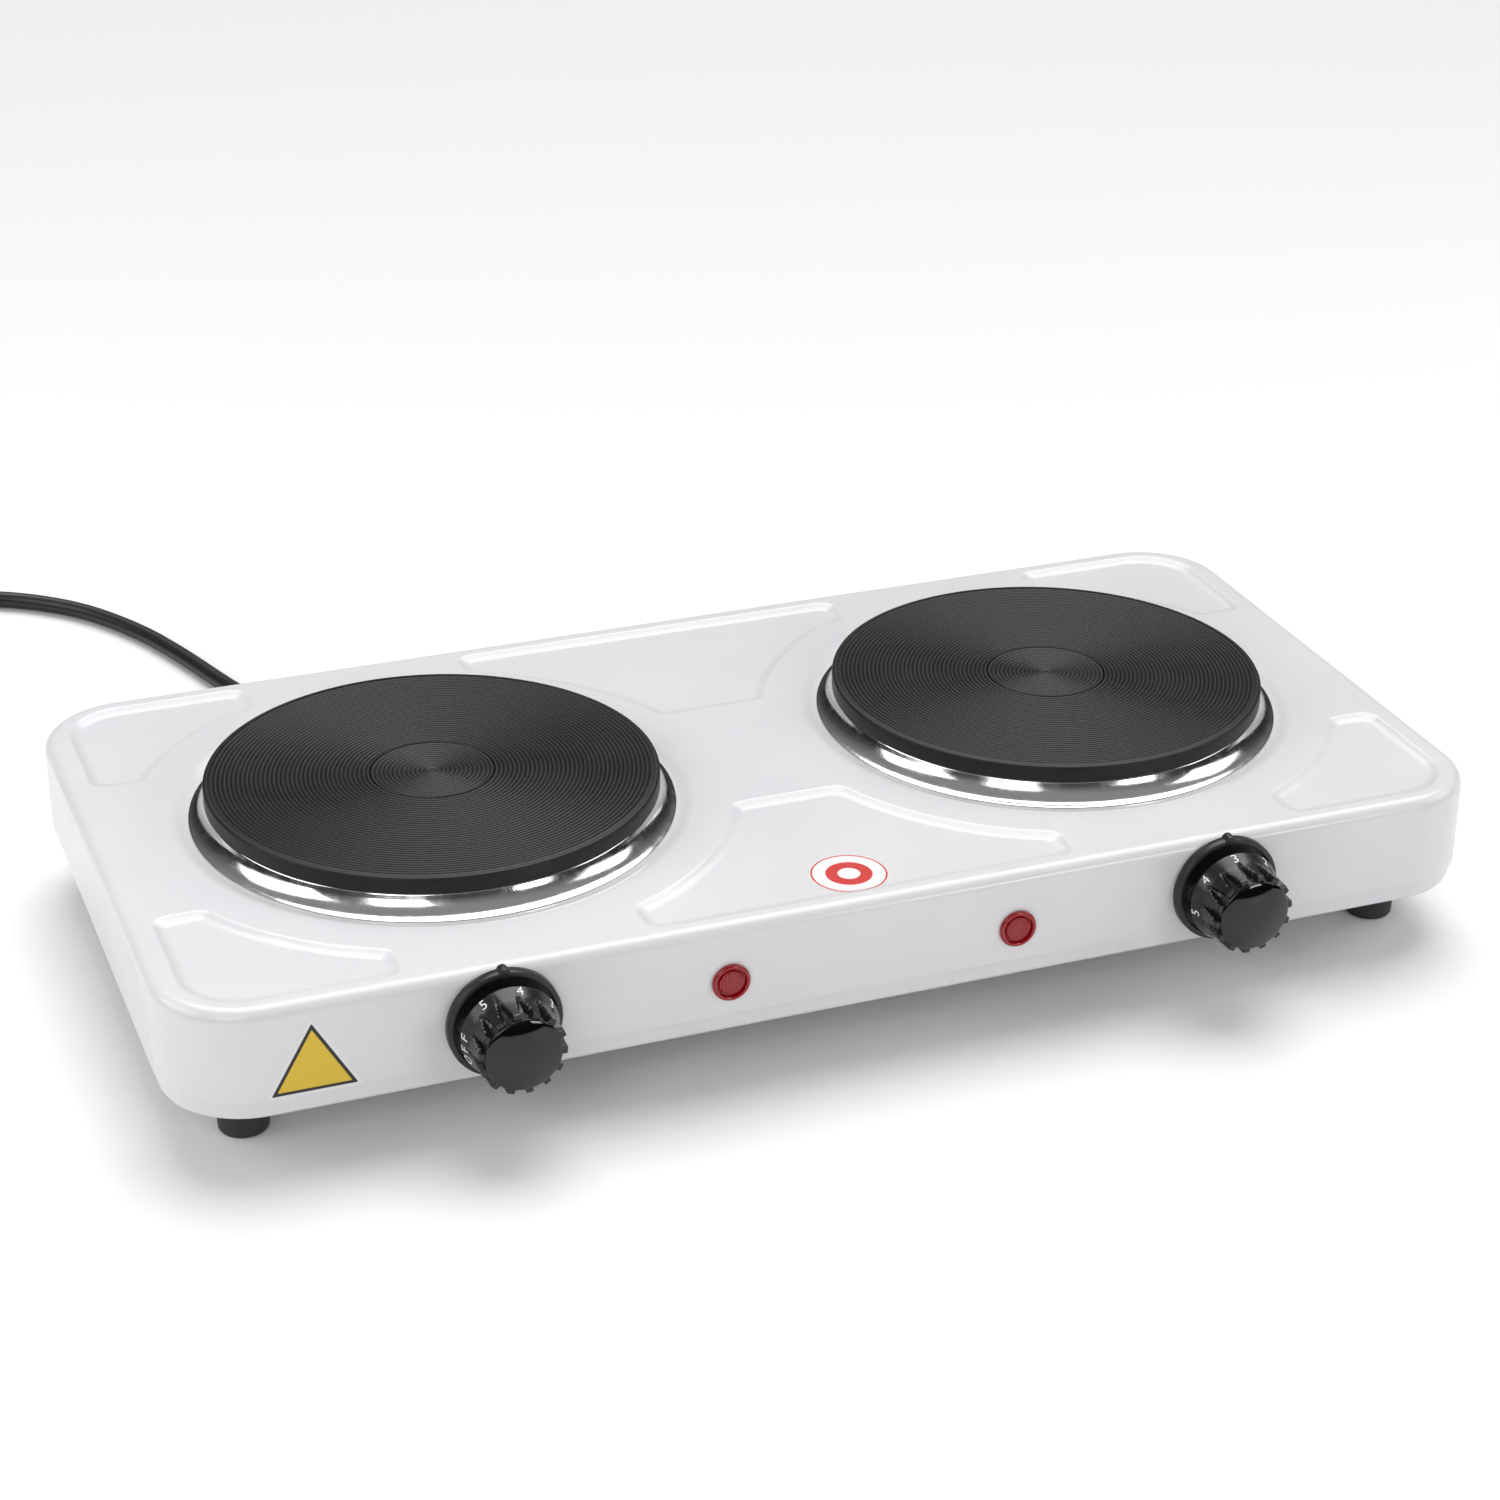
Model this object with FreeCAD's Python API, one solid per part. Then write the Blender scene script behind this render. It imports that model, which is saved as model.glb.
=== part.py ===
import FreeCAD, Part
import math
import os

# Double hot plate burner. Millimetres, +Z up, +X to the user's right, -Y towards the user.
# The origin is on the worktop under the middle of the body and its knobs.

# case
case_length = 554.0
case_width = 280.0
case_top = 70.0            # cooking surface of the cover above the worktop
corner_radius = 36.0       # in plan
bend_radius = 5.0          # round the top edge of the cover
sheet = 0.6
foot_height = 23.0
cover_skirt = 38.6         # height of the cover's side walls
pan_inset = 1.6            # how far the pan's wall stands behind the cover's
pan_overlap = 4.6          # how far the pan's wall reaches up behind the cover's
pan_bend = 3.0

# pressed panels of the cover
panel_depth = 1.8
panel_slope = 9.0          # radius of the soft press round a panel's floor
press_height = 12.0        # of the tool that presses a panel, above the cover
panel_corner_radius = 28.0
panel_side_gap = 7.4       # these gaps are to the foot of the press, under its soft edge
panel_front_gap = 5.4
panel_plate_gap = 19.4     # from the trim ring's edge to a panel
panel_tip_radius = 10.5
rim_round = 3.0
corner_panel_reach = 94.6  # along the long side
corner_panel_side = 85.6   # along the short side
centre_panel_top = 40.4    # nearest that a centre panel comes to the middle line
centre_panel_half = 93.6

# hot plates
plate_spacing = 275.0
plate_radius = 92.5
plate_rim = 7.0            # thickness of the visible disc
plate_body_radius = 86.0
plate_body_depth = 11.0
plate_lift = 14.0          # plate's face above the cover
plate_chamfer = 1.0
groove_pitch = 3.2
groove_depth = 0.35
ring_radius = 99.0
ring_sheet = 0.6
dish_depth = 1.6           # round seat pressed into the cover for the trim ring
dish_margin = 4.5
# (distance beyond the seat's radius, share of its depth) up the slope
dish_slope = ((-4.5, 1.0), (-3.2, 0.94), (-1.9, 0.75), (0.0, 0.35), (1.6, 0.1), (3.4, 0.0))
opening_gap = 3.0          # between the plate's body and the cover's opening
core_inner = 18.0
core_outer = 78.0
core_depth = 8.0
closure_sheet = 0.8
closure_lap = 5.0          # beyond the heater core
stud_radius = 3.0
stud_tail = 4.0            # below its nut
stud_reach = 2.0           # above the heater core, into the plate's iron
boss_radius = 14.0

# clamp bridge under each plate
bridge_width = 25.0
bridge_sheet = 2.0
bridge_drop = 13.5         # from the cover's underside to the bridge's deck
bridge_foot = 9.0
nut_height = 5.0
nut_flats = 10.0

# controls on the front
knob_spacing = 302.8
knob_drop = 21.8           # from the cover's face to a dial's middle
knob_reach = 30.5
cap_radius = 15.0
cap_dome = 2.4
skirt_radius = 19.3
skirt_front_radius = 17.4
skirt_start = 9.5          # these are distances in front of the case's wall
skirt_end = 15.5
skirt_edge = 0.8
skirt_wall = 2.0
grip_radius = 14.0
hub_radius = 6.5
hub_start = 3.0
cap_band = 1.5             # straight edge of the cap behind its dome
rib_root = 1.2             # how deep a rib starts in the grip
rib_taper = 0.76           # a rib's outer width as a share of its root
rib_set_back = 0.6         # of a rib's front face behind the cap's band
rib_radius = 17.2
rib_count = 14
rib_width = 3.4
bezel_outer = 22.4
bezel_inner = 20.1
bezel_height = 4.6
bezel_floor = 1.0
bezel_edge = 0.8
bezel_hole = 8.0
spindle_hole = 6.0         # in the front wall
pointer_radius = 24.0
pointer_width = 4.6
pointer_proud = 0.6        # in front of the bezel
spindle_radius = 3.0
spindle_flat = 2.2
spindle_gap = 0.05
spindle_front = 22.0       # how far it stands out of the front wall
thermostat_screw_span = 28.0
thermostat_width = 30.0
thermostat_height = 26.0
thermostat_depth = 24.0
spindle_depth = 10.0       # of the spindle's bore in the regulator
bracket_width = 38.0
bracket_height = 20.0
bracket_sheet = 1.2
screw_radius = 2.0
screw_head = 3.6
screw_head_height = 1.4
screw_up = 4.0             # behind the bracket

# pilot lamps
lamp_spacing = 120.8
lamp_drop = 24.0
lamp_flange = 7.75
lamp_flange_height = 1.8
lamp_body = 5.0
lamp_depth = 16.0
lamp_wall = 1.2
hole_gap = 0.2             # round screws and lamps in the sheet
clip_radius = 7.6
clip_height = 4.0
bulb_radius = 2.6
bulb_length = 13.0

# feet, pan fixings
foot_x = 489.0             # centre to centre
foot_y = 208.0
foot_top_radius = 10.8
foot_base_radius = 9.8
foot_bore = 4.6
foot_bore_depth = 12.0
foot_edge = 1.6
foot_screw_head = 4.0
foot_screw_head_height = 2.4
foot_screw_up = 8.0
foot_nut_flats = 7.0
foot_nut_height = 3.2
tab_width = 16.0
tab_front_x = 100.0        # brackets' places along the front and the back wall
tab_back_x = 205.0
tab_leg = 14.0
tab_drop = 10.0            # from the cover's face to a bracket's top
tab_sheet = 1.2
pan_screw_radius = 1.5
pan_screw_head = 3.2
pan_screw_head_height = 1.6
pan_screw_up = 5.0
tab_weld = 14.0
vent_length = 26.0
vent_width = 3.0
vent_pitch = 8.0
vent_count = 9

# mains entry at the back
cord_radius = 4.0
cord_exit_x = -150.0
cord_exit_drop = 26.5
relief_length = 20.0
relief_base = 6.6
relief_tip = 4.6
relief_flange = 8.4
relief_flange_height = 2.0
relief_neck = 5.6
relief_inner_length = 6.0
sheath_inside = 18.0
block_length = 30.0
block_width = 18.0
block_height = 14.0
block_y = 92.0
pole_pitch = 8.0
block_well = 2.4
block_well_depth = 5.0
block_screw = 2.3
block_screw_sink = 1.5
earth_x = 45.0             # to the right of the cord's exit
earth_y = 96.0             # behind the middle line
earth_flats = 7.0
earth_head_height = 3.0
earth_screw_up = 8.0
lead_radius = 1.2
tab_blade = 6.3
blade_sheet = 0.8
blade_reach = 8.0
blade_spread = 8.0         # from the spindle to each tab
terminal_length = 38.0
terminal_width = 16.0
terminal_height = 15.0
terminal_y = -48.0
terminal_well = 3.0
terminal_well_depth = 6.0
terminal_screw = 2.8
terminal_screw_length = 3.0

# labels
label_sheet = 0.2
triangle_side = 38.0
triangle_x = -224.0
triangle_rise = 0.1        # of the triangle's base above the cover's lower edge
triangle_round = 2.0
round_label_radius = 15.6
round_label_x = -1.0
round_label_y = -113.5

# coil and plug at the cord's far end
coil_x = -335.0
coil_y = 395.0
coil_middle = 40.0
coil_lift = 0.6            # of the lowest turn's cord above the worktop
coil_sag = 0.2             # how much lower the coil's outer shape starts
coil_stub = 30.0           # straight cord before and after the coil
coil_layer = 8.2           # height of the two turns that lie side by side
coil_edge = 1.5
coil_slack = 0.2           # of the coil's outer shape round its cord
coil_over = 120.0          # angle of the part that lies on top
tie_sheet = 0.6
tie_width = 6.0
tie_slack = 0.4
plug_width = 26.0
plug_height = 24.0
plug_length = 36.0
plug_sleeve = 24.0
plug_tip = 5.0
plug_sleeve_back = 7.5
plug_round = 5.0
plug_bevel = 3.0
plug_gap = 32.0            # of straight cord between the coil and the plug
pin_length = 17.5
pin_spacing = 12.7
pin_width = 6.3
pin_sheet = 1.5
earth_pin_radius = 2.4
earth_pin_extra = 3.0
earth_pin_drop = 7.0

# worked out
body_y = knob_reach / 2.0
front_y = body_y - case_width / 2.0
back_y = body_y + case_width / 2.0
half_length = case_length / 2.0
cover_bottom = case_top - cover_skirt
knob_height = case_top - knob_drop
lamp_height = case_top - lamp_drop
cord_exit_height = case_top - cord_exit_drop
tab_top = case_top - tab_drop
triangle_base = cover_bottom + triangle_rise
plate_top = case_top + plate_lift
under_cover = case_top - sheet
dish_floor = case_top - dish_depth
dish_radius = ring_radius + dish_margin
pan_floor = foot_height + sheet
panel_clear = ring_radius + panel_plate_gap
sides = (("left", -1.0), ("right", 1.0))

V = FreeCAD.Vector
UP = V(0, 0, 1)
BACK = V(0, 1, 0)
os.makedirs("parts", exist_ok=True)


def save(name, shape):
    shape.exportStep("parts/" + name + ".step")


def group(solids):
    """Separate solids that share one node."""
    return Part.makeCompound(solids)


def block(x0, x1, y0, y1, z0, z1):
    return Part.makeBox(x1 - x0, y1 - y0, z1 - z0, V(x0, y0, z0))


def post(radius, x, y, z0, z1):
    """Upright cylinder."""
    return Part.makeCylinder(radius, z1 - z0, V(x, y, z0), UP)


def bar(radius, x, z, y0, y1):
    """Cylinder along Y."""
    return Part.makeCylinder(radius, y1 - y0, V(x, y0, z), BACK)


def slab(inset, z0, z1):
    """Rounded rectangle of the case, set in by inset, between two heights."""
    x = half_length - inset
    y = case_width / 2.0 - inset
    solid = block(-x, x, body_y - y, body_y + y, z0, z1)
    upright = [e for e in solid.Edges if abs(e.BoundBox.ZLength - (z1 - z0)) < 1e-6]
    return solid.makeFillet(corner_radius - inset, upright)


def edges_at(solid, z):
    """The edges that lie flat at one height."""
    return [e for e in solid.Edges if abs(e.BoundBox.ZMin - z) < 1e-4 and abs(e.BoundBox.ZMax - z) < 1e-4]


def turned(points, x, y, z=0.0):
    """Solid of revolution about an upright axis; points are (radius, height)."""
    line = Part.makePolygon([V(r, 0, h) for r, h in points + points[:1]])
    solid = Part.Face(line).revolve(V(0, 0, 0), UP, 360)
    solid.translate(V(x, y, z))
    return solid


def turned_out(points, x, z):
    """Solid of revolution about an axis out of the front wall; points are (radius, distance in front)."""
    solid = turned(points, 0, 0)
    solid.rotate(V(0, 0, 0), V(1, 0, 0), 90)
    solid.translate(V(x, front_y, z))
    return solid


def hexagon(flats, x, y, z0, z1):
    reach = flats / math.sqrt(3.0)
    corners = [V(x + reach * math.cos(math.radians(60 * k)), y + reach * math.sin(math.radians(60 * k)), z0)
               for k in range(7)]
    return Part.Face(Part.makePolygon(corners)).extrude(V(0, 0, z1 - z0))


def tube(points, radius, name=None):
    """Round bar along straight runs joined by tangent arcs, each as large as its two runs allow."""
    pts = [V(*p) for p in points]
    edges = []
    radii = []
    here = pts[0]
    for before, corner, after in zip(pts, pts[1:], pts[2:]):
        run_in = corner.sub(before)
        run_out = after.sub(corner)
        turn = run_in.getAngle(run_out)
        setback = 0.45 * min(run_in.Length, run_out.Length)
        radii.append(setback / math.tan(turn / 2.0))
        start = corner.sub(V(run_in).normalize().multiply(setback))
        end = corner.add(V(run_out).normalize().multiply(setback))
        bisector = V(run_out).normalize().sub(V(run_in).normalize()).normalize()
        centre_distance = radii[-1] / math.cos(turn / 2.0)
        middle = corner.add(bisector.multiply(centre_distance - radii[-1]))
        edges.append(Part.LineSegment(here, start).toShape())
        edges.append(Part.Arc(start, middle, end).toShape())
        here = end
    edges.append(Part.LineSegment(here, pts[-1]).toShape())
    path = Part.Wire(edges)
    section = Part.Wire([Part.Circle(pts[0], pts[1].sub(pts[0]), radius).toShape()])
    solid = path.makePipeShell([section], True, False)
    if name:
        share = solid.Volume / (math.pi * radius ** 2 * path.Length)
        print(name, "length %.0f mm, volume share %.4f, radii" % (path.Length, share),
              [round(r) for r in radii])
    return solid


def plate_x(side):
    return side * plate_spacing / 2.0


def knob_x(side):
    return side * knob_spacing / 2.0


def lamp_x(side):
    return side * lamp_spacing / 2.0


def screw_places(side):
    """Where a regulator's two screws go through the front wall."""
    return [knob_x(side) - thermostat_screw_span / 2.0, knob_x(side) + thermostat_screw_span / 2.0]


# ---- case ----

def panel_block(x0, x1, y0, y1, z0, z1, grow=0.0):
    """One pressed panel's outline as a prism: straight outside and hollowed round the plates."""
    solid = block(x0 - grow, x1 + grow, y0 - grow, y1 + grow, z0, z1)
    for name, side in sides:
        solid = solid.cut(post(panel_clear - grow, plate_x(side), body_y, z0 - 1, z1 + 1))
    upright = [e for e in solid.Edges if abs(e.BoundBox.ZLength - (z1 - z0)) < 1e-6]
    outer_x = half_length - panel_side_gap + grow
    corners = [e for e in upright if abs(abs(e.Vertexes[0].X) - outer_x) < 1e-3 and
               abs(e.Vertexes[0].Y - body_y) > case_width / 2.0 - corner_radius]
    tips = [e for e in upright if not any(e.isSame(c) for c in corners)]
    solid = solid.makeFillet(panel_tip_radius + grow, tips)
    if corners:
        upright = [e for e in solid.Edges if abs(e.BoundBox.ZLength - (z1 - z0)) < 1e-6]
        corners = [e for e in upright if abs(abs(e.Vertexes[0].X) - outer_x) < 1e-3 and
                   abs(e.Vertexes[0].Y - body_y) > case_width / 2.0 - corner_radius]
        solid = solid.makeFillet(panel_corner_radius + grow, corners)
    return solid


def panel_press(window, floor, grow=0.0):
    """Solid that leaves one panel's hollow: its flat floor and the soft slope round it."""
    solid = panel_block(*window, floor, case_top + press_height, grow)
    return solid.makeFillet(panel_slope + grow, edges_at(solid, floor))


def panel_windows():
    """Boxes that bound the six panels: one at each corner of the case and two in the middle."""
    x_out = half_length - panel_side_gap
    y_out = case_width / 2.0 - panel_front_gap
    corner_x = half_length - corner_panel_reach
    corner_y = case_width / 2.0 - corner_panel_side
    windows = []
    for end in (-1.0, 1.0):
        for side in (-1.0, 1.0):
            xs = sorted((side * corner_x, side * x_out))
            ys = sorted((body_y + end * corner_y, body_y + end * y_out))
            windows.append((xs[0], xs[1], ys[0], ys[1]))
        ys = sorted((body_y + end * centre_panel_top, body_y + end * y_out))
        windows.append((-centre_panel_half, centre_panel_half, ys[0], ys[1]))
    return windows


def dish(grow):
    """Round seat under a trim ring, with a soft slope up to the cover's face."""
    floor = -dish_depth
    slope = [(dish_radius + r + grow, floor * share) for r, share in dish_slope]
    return [(0, floor)] + slope + [(slope[-1][0], bend_radius), (0, bend_radius)]


def top_cover():
    outer = slab(0, cover_bottom, case_top)
    outer = outer.makeFillet(bend_radius, edges_at(outer, case_top))
    inner = slab(sheet, cover_bottom - 1, under_cover)
    inner = inner.makeFillet(bend_radius - sheet, edges_at(inner, under_cover))
    for window in panel_windows():
        outer = outer.cut(panel_press(window, case_top - panel_depth))
        inner = inner.cut(panel_block(*window, under_cover - panel_depth, case_top, sheet))
    rims = [e for e in edges_at(outer, case_top) if inside_bend(e)]
    outer = outer.makeFillet(rim_round, rims)
    for name, side in sides:
        outer = outer.cut(turned(dish(0), plate_x(side), body_y, case_top))
        inner = inner.cut(turned(dish(sheet), plate_x(side), body_y, under_cover))
    cover = outer.cut(inner)
    holes = []
    for name, side in sides:
        holes.append(post(plate_body_radius + opening_gap, plate_x(side), body_y, cover_bottom, plate_top))
        holes.append(bar(lamp_body + hole_gap, lamp_x(side), lamp_height, front_y - 1, front_y + 4))
        holes.append(bar(spindle_hole, knob_x(side), knob_height, front_y - 1, front_y + 4))
        for x in screw_places(side):
            holes.append(bar(screw_radius + hole_gap, x, knob_height, front_y - 1, front_y + 4))
    holes.append(bar(relief_neck, cord_exit_x, cord_exit_height, back_y - 4, back_y + 1))
    for hole in holes:
        cover = cover.cut(hole)
    return cover


def inside_bend(edge):
    """True for an edge that stays clear of the bend round the cover's flat top."""
    box = edge.BoundBox
    reach_x = max(abs(box.XMin), abs(box.XMax))
    reach_y = max(abs(box.YMin - body_y), abs(box.YMax - body_y))
    return (reach_x < half_length - bend_radius - 0.5 and reach_y < case_width / 2.0 - bend_radius - 0.5)


def tab_places():
    """(x, y, turn) of the brackets inside the cover; turn 0 is on the front wall."""
    return [(-tab_front_x, front_y, 0), (tab_front_x, front_y, 0), (-tab_back_x, back_y, 180),
            (tab_back_x, back_y, 180), (-half_length, body_y, -90), (half_length, body_y, 90)]


def tab_inside():
    """From the case's outside to a bracket's leg, clear of the pan's bend."""
    return pan_inset + pan_bend


def tab_hole_depth():
    """From the case's outside to a pan screw."""
    return tab_inside() + tab_leg * 0.55


def placed(solid, place):
    """Turns a solid made at a front wall, with its outside at y = 0, to one of the walls."""
    x, y, turn = place
    solid.rotate(V(0, 0, 0), UP, turn)
    solid.translate(V(x, y, 0))
    return solid


def pan_brackets():
    solids = []
    for place in tab_places():
        inside = tab_inside()
        leg = block(-tab_width / 2, tab_width / 2, inside, inside + tab_sheet, pan_floor, tab_top)
        pad = block(-tab_width / 2, tab_width / 2, sheet, inside, tab_top - tab_weld, tab_top)
        shelf = block(-tab_width / 2, tab_width / 2, inside, inside + tab_leg, pan_floor,
                      pan_floor + tab_sheet)
        solid = leg.fuse([pad, shelf]).removeSplitter()
        solid = solid.cut(post(pan_screw_radius, 0, tab_hole_depth(), pan_floor - 1, pan_floor + 3))
        solids.append(placed(solid, place))
    return group(solids)


def pan_screws():
    solids = []
    for place in tab_places():
        head = post(pan_screw_head, 0, tab_hole_depth(), foot_height - pan_screw_head_height, foot_height)
        shank = post(pan_screw_radius, 0, tab_hole_depth(), foot_height, pan_floor + pan_screw_up)
        solids.append(placed(head.fuse(shank), place))
    return group(solids)


def foot_places():
    places = []
    for end, y in (("front", -foot_y / 2), ("rear", foot_y / 2)):
        for side, x in (("left", -foot_x / 2), ("right", foot_x / 2)):
            places.append(("foot_" + end + "_" + side, x, body_y + y))
    return places


def bottom_pan():
    wall_top = cover_bottom + pan_overlap
    outer = slab(pan_inset, foot_height, wall_top)
    outer = outer.makeFillet(pan_bend, edges_at(outer, foot_height))
    inner = slab(pan_inset + sheet, pan_floor, wall_top + 1)
    inner = inner.makeFillet(pan_bend - sheet, edges_at(inner, pan_floor))
    pan = outer.cut(inner)
    holes = []
    for place in tab_places():
        hole = post(pan_screw_radius, 0, tab_hole_depth(), foot_height - 1, pan_floor + 1)
        holes.append(placed(hole, place))
    for name, x, y in foot_places():
        holes.append(post(screw_radius, x, y, foot_height - 1, pan_floor + 1))
    for name, side in sides:
        for row in (-1, 1):
            y = body_y + row * vent_length * 0.85
            for k in range(vent_count):
                x = plate_x(side) + (k - (vent_count - 1) / 2.0) * vent_pitch
                slot = block(x - vent_width / 2, x + vent_width / 2, y - vent_length / 2, y + vent_length / 2,
                             foot_height - 1, pan_floor + 1)
                upright = [e for e in slot.Edges if e.BoundBox.ZLength > 2]
                holes.append(slot.makeFillet(vent_width * 0.49, upright))
    return pan.cut(holes)


def foot(x, y):
    solid = turned([(0, 0), (foot_base_radius, 0), (foot_top_radius, foot_height), (0, foot_height)], x, y)
    solid = solid.makeFillet(foot_edge, edges_at(solid, 0))
    bore = post(foot_bore, x, y, -1, foot_bore_depth)
    return solid.cut(bore).cut(post(screw_radius, x, y, 0, foot_height + 1))


def foot_screws():
    solids = []
    for name, x, y in foot_places():
        head = post(foot_screw_head, x, y, foot_bore_depth - foot_screw_head_height, foot_bore_depth)
        shank = post(screw_radius, x, y, foot_bore_depth, foot_height + foot_screw_up)
        solids.append(head.fuse(shank))
    return group(solids)


def foot_nuts():
    solids = []
    for name, x, y in foot_places():
        nut = hexagon(foot_nut_flats, x, y, pan_floor, pan_floor + foot_nut_height)
        solids.append(nut.cut(post(screw_radius, x, y, pan_floor - 1, pan_floor + 9)))
    return group(solids)


# ---- hot plates ----

def plate(side):
    """Cast-iron plate: grooved disc over a narrower body that is hollowed for the heater core."""
    rim_bottom = plate_top - plate_rim
    bottom = rim_bottom - plate_body_depth
    core_top = bottom + core_depth
    points = [(stud_radius, bottom), (core_inner, bottom), (core_inner, core_top), (core_outer, core_top),
              (core_outer, bottom), (plate_body_radius, bottom), (plate_body_radius, rim_bottom),
              (plate_radius, rim_bottom), (plate_radius, plate_top - plate_chamfer),
              (plate_radius - plate_chamfer, plate_top)]
    half = groove_pitch / 2.0
    count = int((plate_radius - 2 * plate_chamfer) / groove_pitch) - 1
    for k in range(count, 0, -1):
        r = k * groove_pitch
        points += [(r + half * 0.5, plate_top), (r, plate_top - groove_depth), (r - half * 0.5, plate_top)]
    points += [(0, plate_top), (0, core_top + stud_reach), (stud_radius, core_top + stud_reach)]
    return turned(points, plate_x(side), body_y)


def heater_core(side):
    bottom = plate_top - plate_rim - plate_body_depth
    return turned([(core_inner, bottom), (core_outer, bottom), (core_outer, bottom + core_depth),
                   (core_inner, bottom + core_depth)], plate_x(side), body_y)


def plate_closure(side):
    """Steel dish that closes the plate's underside, with a window for the terminal block."""
    top = plate_top - plate_rim - plate_body_depth
    disc = turned([(boss_radius, top - closure_sheet), (core_outer + closure_lap, top - closure_sheet),
                   (core_outer + closure_lap, top), (boss_radius, top)], plate_x(side), body_y)
    x = plate_x(side)
    y = body_y + terminal_y
    window = block(x - terminal_length / 2, x + terminal_length / 2, y - terminal_width / 2,
                   y + terminal_width / 2, top - 5, top + 5)
    return disc.cut(window)


def terminal_block(side):
    """Ceramic block under the plate with two terminal screws' wells."""
    top = plate_top - plate_rim - plate_body_depth
    x = plate_x(side)
    y = body_y + terminal_y
    solid = block(x - terminal_length / 2, x + terminal_length / 2, y - terminal_width / 2,
                  y + terminal_width / 2, top - terminal_height, top)
    for across in (-1, 1):
        solid = solid.cut(post(terminal_well, x + across * terminal_length / 4, y, top - terminal_height - 1,
                               top - terminal_height + terminal_well_depth))
    return solid


def terminal_screws():
    top = plate_top - plate_rim - plate_body_depth
    solids = []
    for name, side in sides:
        for across in (-1, 1):
            x = plate_x(side) + across * terminal_length / 4
            well_end = top - terminal_height + terminal_well_depth
            solids.append(post(terminal_screw, x, body_y + terminal_y, well_end - terminal_screw_length,
                               well_end))
    return group(solids)


def trim_ring(side):
    """Polished steel flange trapped under the plate's disc, flaring down to the cover's seat."""
    high = plate_top - plate_rim
    low = dish_floor
    drop = high - low
    outside = []
    inside = []
    steps = 8
    start = plate_radius - 0.6
    for k in range(steps + 1):
        t = k / steps
        r = start + (ring_radius - start) * (t ** 1.35)
        z = high - drop * (1 - (1 - t) ** 1.15)
        outside.append((r, z))
        inside.append((r - ring_sheet, z - ring_sheet * (1 - t) if k < steps else z))
    top = [(plate_body_radius + 0.2, high - ring_sheet), (plate_body_radius + 0.2, high)]
    return turned(top + outside + inside[::-1], plate_x(side), body_y)


def bridge_deck():
    """Height of the underside of the clamp bridge's deck."""
    return dish_floor - sheet - bridge_drop


def clamp_bridge(side):
    """Steel hat section across the opening; the plate's stud pulls it up against the cover."""
    x = plate_x(side)
    inner = plate_body_radius + opening_gap
    top = dish_floor - sheet
    deck = bridge_deck()
    half = bridge_width / 2.0
    solid = block(x - inner - 1, x + inner + 1, body_y - half, body_y + half, deck, deck + bridge_sheet)
    parts = []
    for way in (-1, 1):
        a, b = sorted((x + way * (inner + 1 - bridge_sheet), x + way * (inner + 1)))
        parts.append(block(a, b, body_y - half, body_y + half, deck, top))
        a, b = sorted((x + way * (inner + 1), x + way * (inner + 1 + bridge_foot)))
        parts.append(block(a, b, body_y - half, body_y + half, top - bridge_sheet, top))
    solid = solid.fuse(parts).removeSplitter()
    return solid.cut(post(stud_radius, x, body_y, deck - 1, deck + 5))


def plate_studs():
    bottom = plate_top - plate_rim - plate_body_depth
    solids = []
    for name, side in sides:
        solids.append(post(stud_radius, plate_x(side), body_y, bridge_deck() - nut_height - stud_tail,
                           bottom + core_depth + stud_reach))
    return group(solids)


def plate_nuts():
    solids = []
    for name, side in sides:
        low = bridge_deck() - nut_height
        nut = hexagon(nut_flats, plate_x(side), body_y, low, bridge_deck())
        solids.append(nut.cut(post(stud_radius, plate_x(side), body_y, low - 1, bridge_deck() + 1)))
    return group(solids)


# ---- controls ----

def bezel(side):
    """Fixed cup behind the knob, with the pointer rib at its top."""
    x = knob_x(side)
    cup = turned_out([(bezel_hole, 0), (bezel_outer - bezel_edge / 2, 0), (bezel_outer, bezel_edge),
                      (bezel_outer, bezel_height - bezel_edge), (bezel_outer - bezel_edge, bezel_height),
                      (bezel_inner, bezel_height), (bezel_inner, bezel_floor), (bezel_hole, bezel_floor)],
                     x, knob_height)
    rib = block(x - pointer_width / 2, x + pointer_width / 2, front_y - bezel_height - pointer_proud, front_y,
                knob_height + bezel_inner + 0.4, knob_height + pointer_radius)
    crest = knob_height + pointer_radius - 0.1
    long_edges = [e for e in rib.Edges if e.BoundBox.YLength > bezel_height and e.BoundBox.ZMin > crest]
    rib = rib.makeFillet(pointer_width * 0.4, long_edges)
    cup = cup.fuse(rib).removeSplitter()
    for screw_x in screw_places(side):
        cup = cup.cut(bar(screw_radius + hole_gap, screw_x, knob_height, front_y - 2, front_y + 1))
    return cup


def spindle_section(grow):
    """Round bar with one flat, as a prism along Y from the front of the knob's bore."""
    r = spindle_radius + grow
    solid = Part.makeCylinder(r, spindle_front, V(0, -spindle_front, 0), BACK)
    return solid.cut(block(-r - 1, r + 1, -spindle_front - 1, 0, spindle_flat + grow, r + 2))


def spindle(side):
    """D-shaped in the knob, round where it turns in the thermostat."""
    flat_end = spindle_section(0)
    flat_end.translate(V(knob_x(side), front_y, knob_height))
    end = front_y + sheet + bracket_sheet + spindle_depth
    round_end = bar(spindle_radius, knob_x(side), knob_height, front_y, end)
    return flat_end.fuse(round_end)


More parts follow.
